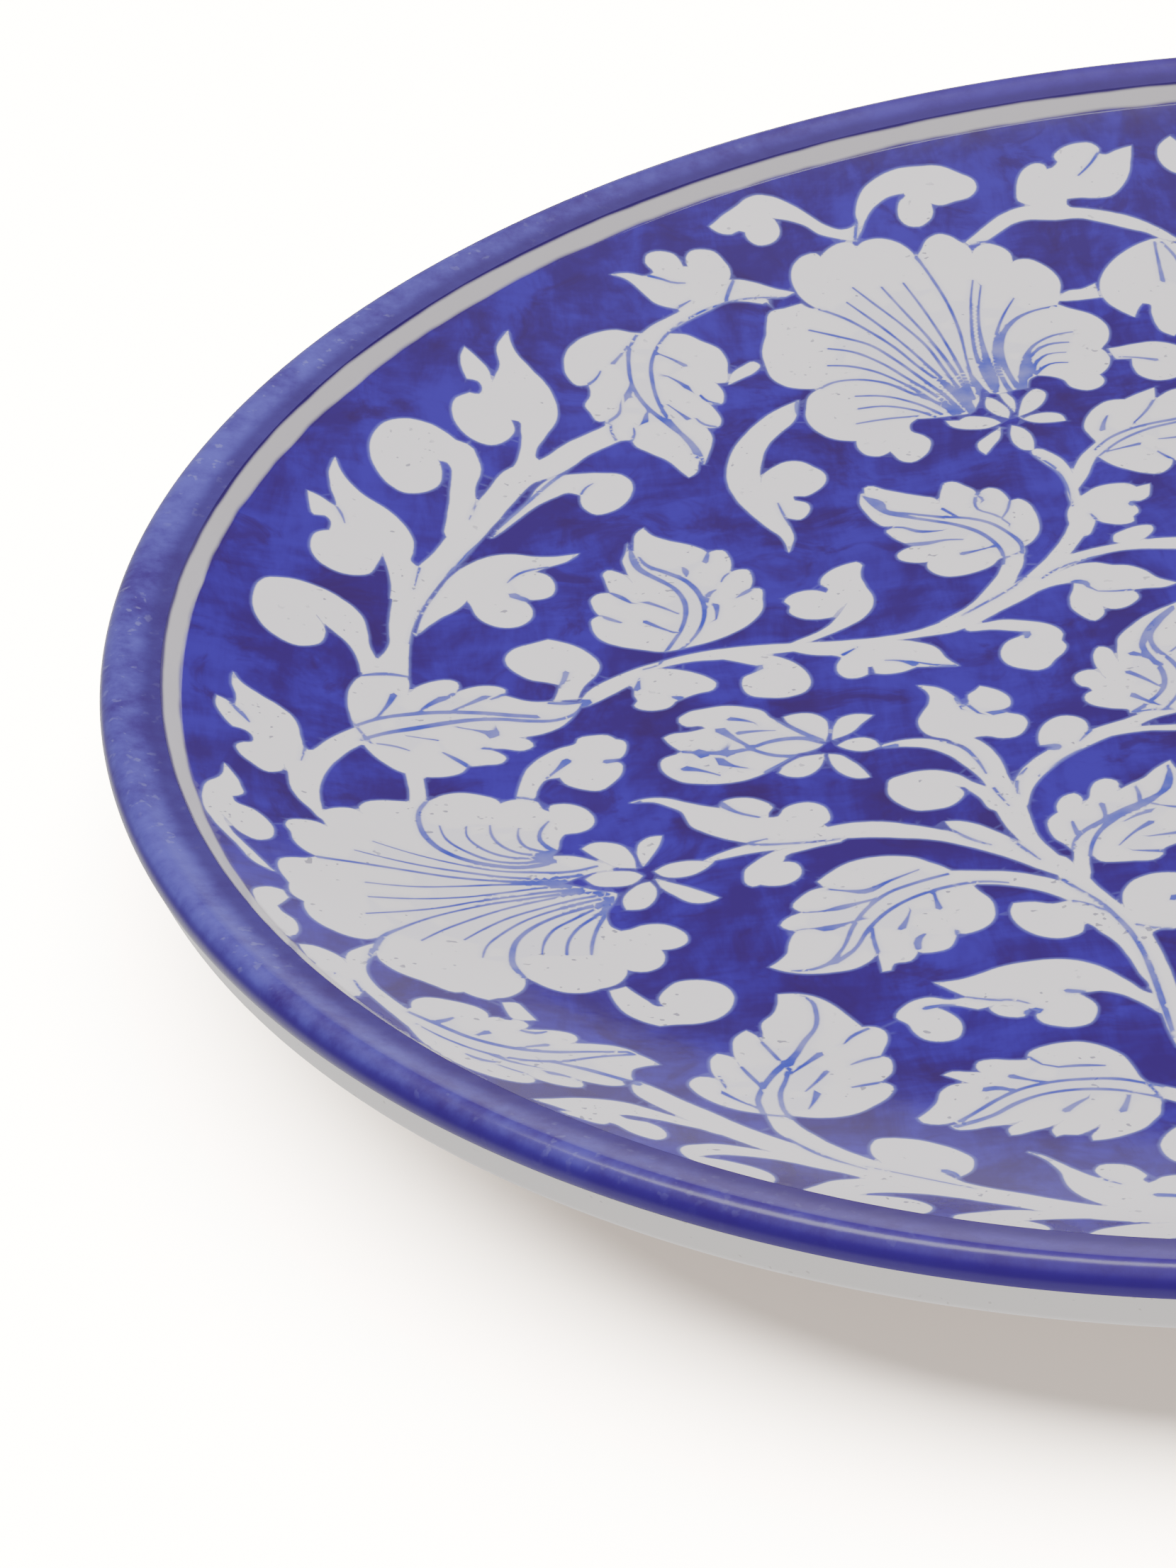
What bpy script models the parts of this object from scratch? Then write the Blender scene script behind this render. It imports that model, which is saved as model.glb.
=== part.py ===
"""A hand painted ceramic dinner plate: a pressed clay body on a foot ring, under its coats of glaze.

Metres, +Z up. The origin is the middle of the foot's resting face, so the plate stands on z = 0
and turns about the Z axis.
"""

from math import cos, hypot, pi, radians, sin

import bmesh
import bpy

# Driving dimensions
LIP_RADIUS = 0.1524          # outermost edge of the rolled lip, a 12 inch plate
LIP_TOP = 0.0270             # height of the lip above the table
LIP_ROLL = 0.0024            # radius of the lip's round edge
BAND_INNER_RADIUS = 0.1442   # where the blue band of the lip starts
BAND_INNER_HEIGHT = 0.0256
WALL_RADIUS = 0.1423         # top of the well's wall, at the inner edge of the white line
WALL_HEIGHT = 0.0231
FLOOR_RADIUS = 0.0880        # flat middle of the well
FLOOR_HEIGHT = 0.0126
UNDERSIDE_RADIUS = 0.1040    # where the back leaves the flat base and starts to rise
UNDERSIDE_HEIGHT = 0.0062
SIDE_ROLL = 0.0032           # radius of the round lower edge of the rim's side
SIDE_ROLL_RADIUS = 0.1478    # middle of that round edge
SIDE_ROLL_HEIGHT = 0.0206
FOOT_OUTER_RADIUS = 0.0990
FOOT_INNER_RADIUS = 0.0920
FOOT_TAPER = 0.0012          # how far the foot's sides draw in towards the table
FOOT_EDGE = 0.0008           # worn edge along both sides of the resting face
GLAZE = 0.0005               # thickness of the slip and glaze coats
GAP = 0.0003                 # clearance between neighbouring solids
LIP_START_ANGLE = 100        # the lip's round edge, in degrees from level
SIDE_ANGLE = -18             # the rim's side is square to this angle
BACK_ANGLE = -63             # and the back starts square to this one

SEGMENTS = 72                # facets round the plate
WALL_STEPS = 6
LIP_STEPS = 7
SIDE_STEPS = 3
BACK_STEPS = 5


def clear_scene():
    for item in list(bpy.data.objects):
        bpy.data.objects.remove(item)


def material(name, colour, roughness, metallic=0.0):
    finish = bpy.data.materials.new(name)
    finish.use_nodes = True
    shader = finish.node_tree.nodes["Principled BSDF"]
    shader.inputs["Base Color"].default_value = (*colour, 1.0)
    shader.inputs["Roughness"].default_value = roughness
    shader.inputs["Metallic"].default_value = metallic
    return finish


def wall_curve():
    """The well from its axis outwards: a flat floor, then a parabola that steepens to the wall's top."""
    points = [(0.0, FLOOR_HEIGHT)]
    rise = WALL_HEIGHT - FLOOR_HEIGHT
    for step in range(WALL_STEPS + 1):
        share = step / WALL_STEPS
        radius = FLOOR_RADIUS + share * (WALL_RADIUS - FLOOR_RADIUS)
        points.append((radius, FLOOR_HEIGHT + rise * share ** 2))
    points.append((BAND_INNER_RADIUS, BAND_INNER_HEIGHT))
    return points


def round_edge(middle, radius, start, end, steps):
    """Points round part of a circle, from one angle to another in degrees from level."""
    points = []
    for step in range(steps + 1):
        angle = radians(start + (end - start) * step / steps)
        points.append((middle[0] + radius * cos(angle), middle[1] + radius * sin(angle)))
    return points


def lip_curve():
    """The band from its inner edge, over the round lip, to the top of the rim's side."""
    middle = (LIP_RADIUS - LIP_ROLL, LIP_TOP - LIP_ROLL)
    roll = round_edge(middle, LIP_ROLL, LIP_START_ANGLE, SIDE_ANGLE, LIP_STEPS)
    return [(BAND_INNER_RADIUS, BAND_INNER_HEIGHT)] + roll


def back_curve(inner_radius):
    """The rim's side, its round lower edge, the rising back, then the flat base as far as inner_radius."""
    middle = (SIDE_ROLL_RADIUS, SIDE_ROLL_HEIGHT)
    points = round_edge(middle, SIDE_ROLL, SIDE_ANGLE, BACK_ANGLE, SIDE_STEPS)
    top_radius, top_height = points[-1]
    for step in range(1, BACK_STEPS + 1):
        share = 1 - step / BACK_STEPS
        radius = UNDERSIDE_RADIUS + share * (top_radius - UNDERSIDE_RADIUS)
        points.append((radius, UNDERSIDE_HEIGHT + share ** 2 * (top_height - UNDERSIDE_HEIGHT)))
    points.append((inner_radius, UNDERSIDE_HEIGHT))
    return points


def inset(curve, depth):
    """The curve moved into the clay, which lies on its right-hand side, by depth everywhere."""
    moved = []
    last = len(curve) - 1
    for index, (radius, height) in enumerate(curve):
        sides = []
        for first, second in ((index - 1, index), (index, index + 1)):
            if first >= 0 and second <= last:
                run = curve[second][0] - curve[first][0]
                rise = curve[second][1] - curve[first][1]
                length = hypot(run, rise)
                sides.append((rise / length, -run / length))
        across = sum(side[0] for side in sides) / len(sides)
        down = sum(side[1] for side in sides) / len(sides)
        scale = depth / (across * across + down * down)
        moved.append((radius + across * scale, height + down * scale))
    return moved


def without_repeats(curve):
    kept = [curve[0]]
    for point in curve[1:]:
        if hypot(point[0] - kept[-1][0], point[1] - kept[-1][1]) > GAP / 10:
            kept.append(point)
    return kept


def turned(name, outline, closed, finish):
    """One solid turned about the Z axis. An open outline starts and ends on the axis."""
    mesh = bpy.data.meshes.new(name)
    work = bmesh.new()
    corners = [work.verts.new((radius, 0.0, height)) for radius, height in outline]
    edges = [work.edges.new(pair) for pair in zip(corners, corners[1:])]
    if closed:
        edges.append(work.edges.new((corners[-1], corners[0])))
    bmesh.ops.spin(work, geom=corners + edges, cent=(0, 0, 0), axis=(0, 0, 1),
                   angle=2 * pi, steps=SEGMENTS, use_merge=True)
    bmesh.ops.remove_doubles(work, verts=work.verts, dist=GAP / 100)
    bmesh.ops.recalc_face_normals(work, faces=work.faces)
    work.to_mesh(mesh)
    work.free()
    mesh.shade_smooth()
    mesh.set_sharp_from_angle(angle=radians(35))
    mesh.materials.append(finish)
    piece = bpy.data.objects.new(name, mesh)
    bpy.context.scene.collection.objects.link(piece)
    return piece


def shortened(curve, start):
    """The curve with a little taken off its first stretch."""
    run = curve[1][0] - curve[0][0]
    rise = curve[1][1] - curve[0][1]
    share = start / hypot(run, rise)
    return [(curve[0][0] + run * share, curve[0][1] + rise * share)] + curve[1:]


def make_coats(painted, band, white):
    """The coats of glaze on the well, the lip and the back: one outer curve, parted at its corners."""
    well = wall_curve()
    lip = lip_curve()
    outer = without_repeats(well + lip + back_curve(FOOT_OUTER_RADIUS + GAP))
    inner = inset(outer, GLAZE)
    inner[0] = (0.0, inner[0][1])
    well_end = len(well) - 1
    lip_end = well_end + len(lip) - 1
    coats = []
    for name, first, last, finish in (
        ("face_glaze", 0, well_end, painted),
        ("rim_glaze", well_end, lip_end, band),
        ("back_glaze", lip_end, len(outer) - 1, white),
    ):
        outside = outer[first:last + 1]
        inside = inner[first:last + 1]
        if first > 0:
            outside = shortened(outside, GAP)
            inside = shortened(inside, GAP)
        coats.append(turned(name, outside + inside[::-1], first > 0, finish))
    return coats


def make_body(finish):
    outer = without_repeats(wall_curve() + lip_curve() + back_curve(0.0))
    clay = inset(outer, GLAZE + GAP)
    clay[0] = (0.0, clay[0][1])
    clay[-1] = (0.0, clay[-1][1])
    return turned("plate_body", clay, False, finish)


def make_foot_ring(finish):
    top = UNDERSIDE_HEIGHT + GLAZE
    outer_low = FOOT_OUTER_RADIUS - FOOT_TAPER
    inner_low = FOOT_INNER_RADIUS + FOOT_TAPER
    outline = [
        (FOOT_OUTER_RADIUS, top),
        (outer_low, FOOT_EDGE),
        (outer_low - FOOT_EDGE, 0.0),
        (inner_low + FOOT_EDGE, 0.0),
        (inner_low, FOOT_EDGE),
        (FOOT_INNER_RADIUS, top),
    ]
    return turned("foot_ring", outline, True, finish)


def make_recess_glaze(finish):
    """The disc of glaze on the base inside the foot ring."""
    reach = FOOT_INNER_RADIUS - GAP
    low = UNDERSIDE_HEIGHT
    outline = [(0.0, low + GLAZE), (reach, low + GLAZE), (reach, low), (0.0, low)]
    return turned("recess_glaze", outline, False, finish)


def main():
    clear_scene()
    clay = material("biscuit_clay", (0.72, 0.62, 0.50), 0.85)
    bare_foot = material("bare_foot_clay", (0.78, 0.70, 0.60), 0.80)
    painted = material("cobalt_painted_glaze", (0.07, 0.06, 0.42), 0.12)
    band = material("blue_band_glaze", (0.09, 0.09, 0.40), 0.12)
    white = material("white_back_glaze", (0.82, 0.80, 0.76), 0.15)
    plate = bpy.data.objects.new("plate", None)
    bpy.context.scene.collection.objects.link(plate)
    pieces = [
        make_body(clay),
        make_foot_ring(bare_foot),
        *make_coats(painted, band, white),
        make_recess_glaze(white),
    ]
    for piece in pieces:
        piece.parent = plate


main()
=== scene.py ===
"""A hand painted blue and white plate: its painted face, its blue lip, its white back and its foot."""

from math import atan2, ceil, cos, hypot, pi, radians, sin, sqrt

import bpy
import numpy as np
from mathutils import Matrix, Vector, noise
from mathutils.geometry import delaunay_2d_cdt


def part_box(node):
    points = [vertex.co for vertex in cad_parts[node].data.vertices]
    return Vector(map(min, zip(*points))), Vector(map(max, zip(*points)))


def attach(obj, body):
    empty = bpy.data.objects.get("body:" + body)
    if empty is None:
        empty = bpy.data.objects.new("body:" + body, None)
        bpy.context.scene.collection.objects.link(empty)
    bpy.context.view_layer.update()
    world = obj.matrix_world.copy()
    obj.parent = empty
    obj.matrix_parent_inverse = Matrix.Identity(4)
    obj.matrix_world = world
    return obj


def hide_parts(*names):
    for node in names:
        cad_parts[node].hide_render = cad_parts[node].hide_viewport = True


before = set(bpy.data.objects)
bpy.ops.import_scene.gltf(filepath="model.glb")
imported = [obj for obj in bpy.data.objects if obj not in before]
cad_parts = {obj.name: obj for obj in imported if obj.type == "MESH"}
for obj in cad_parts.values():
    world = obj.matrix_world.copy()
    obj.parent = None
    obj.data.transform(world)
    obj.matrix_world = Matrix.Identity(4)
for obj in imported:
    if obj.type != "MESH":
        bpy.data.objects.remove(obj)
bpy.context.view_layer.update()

MM = 0.001

# Sizes and places, read from the frame where a piece of it gives them
LIP_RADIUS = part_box("rim_glaze")[1][0]
LIP_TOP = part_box("rim_glaze")[1][2]
FACE_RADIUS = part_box("face_glaze")[1][0]          # where the blue band of the lip takes over
FACE_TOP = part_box("face_glaze")[1][2]
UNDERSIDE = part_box("recess_glaze")[0][2]          # the flat base the foot ring stands out of
RECESS_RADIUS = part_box("recess_glaze")[1][0]
RECESS_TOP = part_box("recess_glaze")[1][2]
FOOT_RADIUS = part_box("foot_ring")[1][0]
FOOT_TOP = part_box("foot_ring")[1][2]
GLAZE = RECESS_TOP - UNDERSIDE
GAP = 0.3 * MM
LIP_ROLL = 2.4 * MM                               # radius of the lip's round edge
LINE_RADIUS = 142.3 * MM                          # inner edge of the white line, the top of the wall
LINE_HEIGHT = 23.1 * MM
FLOOR_RADIUS = 88 * MM                            # the flat middle of the well
FLOOR_HEIGHT = 12.6 * MM
SIDE_ANGLE = -18                                  # the rim's side is square to this angle
BACK_ANGLE = -63                                  # and the back starts square to this one
SIDE_ROLL = 3.2 * MM
SIDE_ROLL_MIDDLE = (147.8 * MM, 20.6 * MM)
BASE_RADIUS = 104 * MM                            # where the back leaves the flat base
FOOT_INNER = 92 * MM
FOOT_TAPER = 1.2 * MM
FOOT_EDGE = 0.8 * MM                              # radius of the worn edges of its resting face
LIP_START_ANGLE = 100                             # where the lip's round edge starts, from level
BAND_DIP = 0.12 * MM                              # how far the band sinks before it meets the lip
RECESS_BOW = 0.05 * MM                            # how far the glaze of the recess bows up
HAIR = 0.01 * MM                                  # keeps neighbouring coats from sharing points

# Steps round the plate and along each curve
SEGMENTS = 480
LIP_STEPS = 26
BAND_STEPS = 6
SIDE_STEPS = 10
BACK_STEPS = 18
FOOT_STEPS = 6
SKIN_RINGS = 9
HAND_WAVES = 22                                   # slow waves of unevenness to the metre


def wall_height(radius):
    """Height of the plate's face: a flat floor, a rising wall, then the steep white line."""
    if radius <= FLOOR_RADIUS:
        return FLOOR_HEIGHT
    if radius <= LINE_RADIUS:
        share = (radius - FLOOR_RADIUS) / (LINE_RADIUS - FLOOR_RADIUS)
        return FLOOR_HEIGHT + share ** 2 * (LINE_HEIGHT - FLOOR_HEIGHT)
    share = (radius - LINE_RADIUS) / (FACE_RADIUS - LINE_RADIUS)
    return LINE_HEIGHT + share * (FACE_TOP - LINE_HEIGHT)


def hand_made(x, y, depth=0.1 * MM):
    """The slow unevenness that pressing a plate by hand leaves."""
    return depth * noise.noise(Vector((x * HAND_WAVES, y * HAND_WAVES, 0.4)))


# The painting. Each motif is drawn in millimetres from the plate's middle. A "!" marks a sharp
# corner and every other point lies on a smooth curve. White shapes stand in the blue ground, stems
# are white strokes and brush lines are blue ones over the white: both carry their width as a third
# number.
WHITES = []
STEMS = []
BRUSHES = []
OUTLINE_STEP = 0.8                                # millimetres between the samples of an outline
STROKE_STEP = 1.1                                 # and of a stroke
SETTLE_START = 54                                 # degrees each side of the near edge
SETTLE_END = 42
SETTLE_RADIUS = 122                               # motifs are drawn in from here outwards
SETTLE_SHARE = 0.29                               # by this share of what lies beyond it


def read_points(text):
    """The points of one motif, each with whether it is a sharp corner."""
    points = []
    for word in text.split():
        numbers = [float(number) for number in word.rstrip("!").split(",")]
        points.append((numbers, word.endswith("!")))
    return points


def slope_at(before, here, after, reach):
    """The way a smooth curve runs through a point, scaled to the stretch that it belongs to."""
    back = max(hypot(here[0] - before[0], here[1] - before[1]), 1e-6)
    ahead = max(hypot(after[0] - here[0], after[1] - here[1]), 1e-6)
    leaving = (here - before) / back * ahead + (after - here) / ahead * back
    return leaving / (back + ahead) * reach


def smooth_line(points, closed, spacing):
    """A curve through the points, sampled at about the given spacing in millimetres."""
    places = np.array([point[0] for point in points])
    corner = [point[1] for point in points]
    count = len(points)
    samples = []
    for first in range(count if closed else count - 1):
        second = (first + 1) % count
        start, end = places[first], places[second]
        reach = hypot(end[0] - start[0], end[1] - start[1])
        leave = arrive = None
        if (closed or first > 0) and not corner[first]:
            leave = slope_at(places[first - 1], start, end, reach)
        if (closed or first < count - 2) and not corner[second]:
            arrive = slope_at(start, end, places[(first + 2) % count], reach)
        if leave is None:
            leave = end - start if arrive is None else 1.5 * (end - start) - 0.5 * arrive
        if arrive is None:
            arrive = 1.5 * (end - start) - 0.5 * leave
        steps = max(1, ceil(reach / spacing))
        for step in range(steps):
            t = step / steps
            samples.append(
                (2 * t ** 3 - 3 * t * t + 1) * start + (t ** 3 - 2 * t * t + t) * leave
                + (3 * t * t - 2 * t ** 3) * end + (t ** 3 - t * t) * arrive
            )
    if not closed:
        samples.append(places[-1])
    return np.array(samples)


def settled(line):
    """Draws a motif beside the near edge in towards the middle, so that it ends on the wall."""
    line = line.copy()
    x, y = line[:, 0], line[:, 1]
    radius = np.hypot(x, y)
    aside = np.degrees(np.abs(np.arctan2(x, -y)))
    share = np.clip((SETTLE_START - aside) / (SETTLE_START - SETTLE_END), 0, 1)
    share = share * share * (3 - 2 * share)
    over = np.maximum(radius - SETTLE_RADIUS, 0)
    scale = (radius - over * SETTLE_SHARE * share) / np.maximum(radius, 1e-6)
    line[:, 0] *= scale
    line[:, 1] *= scale
    return line


def painted_twice(line, kept):
    """Keeps a motif and the same motif turned half way round the plate."""
    kept.append(line)
    other = line.copy()
    other[:, :2] *= -1
    kept.append(other)


def white(text):
    """A white shape."""
    painted_twice(settled(smooth_line(read_points(text), True, OUTLINE_STEP)), WHITES)


def stem(text):
    """A white stroke."""
    painted_twice(settled(smooth_line(read_points(text), False, STROKE_STEP)), STEMS)


def brush(text):
    """A blue brush line over the white."""
    painted_twice(settled(smooth_line(read_points(text), False, STROKE_STEP)), BRUSHES)


def paint_left_vine():
    white(
        "-107.6,64.8! -107.2,61.5 -108,58.3 -110,56.6 -112.5,56.2 -114.5,57.8 -116,60.8 -116.8,65.5 "
        "-116,69.5 -114,72.5 -111,73.6 -108,72.8 -105,69.8 -103.4,66.5 -104.6,64.2"
    )
    stem("-106,47,3 -104.8,54,3.5 -104.4,59,3.3 -103.8,63,4 -104.9,67,5")
    stem(
        "-116.6,10,5.8 -115.6,13.4,4.2 -114.8,16.5,2.8 -114,24,3.2 -112.4,31,4.4 -110.2,36,4.2 "
        "-107.6,40.5,4 -104.9,46,4.2 -101.8,52,4.2 -99.2,57,4.2 -96.2,62,4.6 -92,64.4,4.2 -88,68.8,4 "
        "-84.5,71.5,4 -81,74,4.2"
    )
    white(
        "-115.3,30! -115.1,33 -115.5,38 -116,41! -116.9,38 -118,35.6 -120.6,34.9 -123,35.8 -125,38.3 "
        "-125.4,42 -124.7,44 -122.9,45! -122.8,47.7 -123.4,48.4 -124.8,48.3 -125.3,50.5 -125.5,53.6! "
        "-123.9,52.7 -122,51 -122.4,55.5 -122.5,59 -121.6,62.3! -120.5,58.2 -118,54.3 -115,51.5 -112.8,48 "
        "-111.8,44.5 -112,41.5 -112.3,39.5 -111.2,37.9! -111.5,34 -113,30!"
    )
    brush("-122,51.4,.3 -121.2,49.3,.4 -120.8,47.2,.15")
    brush("-111.2,37.9,.35 -112.2,32.5,.12")
    brush("-102.9,54.6,.4 -104,50.6,.12")
    white(
        "-125.1,24! -124.2,21.5 -124.1,19.5 -125,17 -127.5,16 -130.7,18 -132.8,22 -133.1,27 -132.5,29.7 "
        "-131.5,31.2 -128.5,32 -124.5,30.8 -121.2,28 -119.2,24.8 -118.6,21 -118.4,17.5 -117.5,14! "
        "-116.5,11 -119.6,11! -120,14.2 -121.2,18 -122.7,20.2 -124,22"
    )
    white(
        "-112.2,21! -111,26.5 -109,32 -106.8,36.5 -104.5,39.3 -102,41.2 -98.8,42 -95.5,41.3 -92.5,41.2 "
        "-89.7,41.7! -91.5,39.8 -94,38.6 -95.8,37.4! -94.3,36.5 -93.4,33.5 -94,31 -96.3,30.2 -98.2,30.7! "
        "-96.8,28 -97,25.2 -98.8,23.4 -100.5,23.2 -103,24.5 -104.2,26.5 -104.7,28.8 -105.2,30.2! "
        "-106.5,28 -109,25.5"
    )
    brush("-99.6,34.8,.2 -98,37,.5 -94,38.6,.35")
    brush("-99.1,31.5,1.3 -97.4,30.2,1")
    brush(
        "-113.2,18.8,.3 -111.5,26.5,.5 -108.5,34,.55 -106,39.5,.6 -102,46,.6 -98,52,.6 -95,56.5,.6 "
        "-91,62,.6 -86,66.5,.5"
    )
    white(
        "-93.5,60 -92,61.5 -89,62.4 -85.5,62.6 -82.5,62 -81.2,60 -81.4,57 -82.5,54.5 -84.5,52.5 "
        "-86.5,51.9 -88,53.5 -88.4,57! -90,57.8 -92,56.6 -94.5,54.6 -97,51.5 -99,48.8 -101.2,46.2! "
        "-98.6,51 -96,55"
    )
    brush("-88.3,57.3,.4 -87.5,59,.35 -86.5,60,.15")
    white(
        "-98.5,61.5! -96.5,66 -95.8,69.5 -95.6,73 -95.8,75.3 -96.9,75.5! -96.6,73 -97.5,71 -100,69.2 "
        "-102.5,70.3 -104.3,73 -105,76.5 -104.3,79.5 -102.3,81.1! -101,81 -100.4,82.5 -101,84 "
        "-102.5,84.3! -102.9,86 -103.1,89 -102.4,91.3! -101,89.5 -99.5,87 -99,84! -98.3,86 -97.7,87.5 "
        "-97.8,92 -96,95.8! -95.5,92 -93.5,88 -91.3,84 -90.3,79.5 -90.5,76 -92.3,72 -93.8,68.5 -94,66.5 "
        "-93,65.3! -94,61.5!"
    )


def paint_hanging_leaf():
    white(
        "-78.5,97.3 -80.4,97.7 -83,97 -86,95 -88,92 -88.5,89 -88,86 -87,84.5 -85.3,84.8! -85.3,82 "
        "-86.2,79.5 -85.6,78 -84.5,75.8 -83.6,76! -83.6,73.6 -82.5,71.2! -81.2,71 -80.2,71! -80,69.8 "
        "-78,67.5 -75.5,65 -74,62 -73.1,60.3! -72,61.5 -71.5,64 -71.2,65.2! -70.7,63.6! -70,66 -69.2,69 "
        "-69,70.5 -69.7,73.5! -68,73.4 -67.4,75 -67.8,77.5 -68.8,80! -67,79.5 -66.4,81.5 -66.8,84 "
        "-67.4,85.2! -65.9,85 -65.3,88 -65.3,91.5 -66,93.5 -68.5,95.5 -70.5,97 -73,97.2"
    )
    brush(
        "-74.4,100,.3 -77,97.5,.4 -78.8,93.5,.6 -79.3,89,.6 -79.1,84.5,.6 -77.8,80,.7 -75,75,.8 "
        "-73,71.5,.8 -72,68.5,.7 -71.6,65.5,.6"
    )
    brush(
        "-71,99.8,.3 -73,97.3,.5 -74.8,94,.5 -76,90,.6 -76.2,85,.6 -75.7,80,.6 -74,74,.7 -72,69.5,.7 "
        "-71,66,.6 -70.8,64,.4"
    )
    brush("-79.2,94,.25 -80.5,91.5,.4 -81.5,89.9,.7")
    brush("-83.4,88,.25 -84.3,86,.4 -85.3,84.8,.6")
    brush("-79.2,85.3,.4 -79.6,83.8,.6 -80,82.2,1.1")
    brush("-81.2,79.9,.3 -81.6,77.7,.5 -83.5,75.5,.6")
    brush("-82.8,76,.4 -83,73.5,.4 -82.5,71,.5")
    brush("-79.8,74,.2 -79.8,72.5,.4 -80.3,70.9,.5")
    brush("-77.2,79.3,.2 -77.7,77.5,.5 -78,75.8,.9")
    brush("-74.6,92.3,.25 -72.8,91,.45 -71.2,89.5,.75")
    brush("-73.9,86.9,.25 -72.4,85.4,.5 -71.5,84.2,.9")
    brush("-69.7,82,.4 -68.8,80.4,.5 -67.2,79.5,.5")
    brush("-74.5,79.8,.2 -73,77.6,.4 -72,76,.8")
    brush("-70.8,76,.3 -69.8,74.3,.5 -68.2,73.5,.5")
    white("-65.4,84.5! -64.8,87 -63,89 -61.3,90.1 -60.5,89.2 -61.3,87.6 -63.3,86")
    stem("-58.5,105,1.4 -63.5,105.1,.6 -67.5,103.3,2 -71.5,100.4,2.2 -74.5,97.8,2.6 -76.8,94.5,2.6")


def paint_sickle():
    white(
        "-56,79! -58,77.8 -60.5,75.8 -63.5,72 -66,67.5 -67.5,62.5 -67.9,57.5 -67.2,53 -65.5,48 -63.5,43.5 "
        "-62,40.5 -61.6,38.5 -61.4,36.3! -60.4,40.5 -60.6,43 -61.2,46.2! -60.5,45.6 -59,44.9 -58,46 "
        "-57.6,49 -59.3,50.4! -59.3,51.7 -57.8,51.3 -55.8,52.7 -54.5,55 -54.5,57 -55.8,59.3 -58,61.6 "
        "-59.3,61.7 -61.3,60.5 -63,58.5 -63.4,56! -63.2,60 -62.6,63.5 -61.3,67.5 -59,71 -57.3,73.2 "
        "-56.6,75.2!"
    )
    brush("-56.2,78.8,.5 -56.4,76,.7 -56.1,73.8,.4")
    brush("-61.6,50.2,.2 -61.1,46.5,.4 -60.5,43.5,.4")


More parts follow.
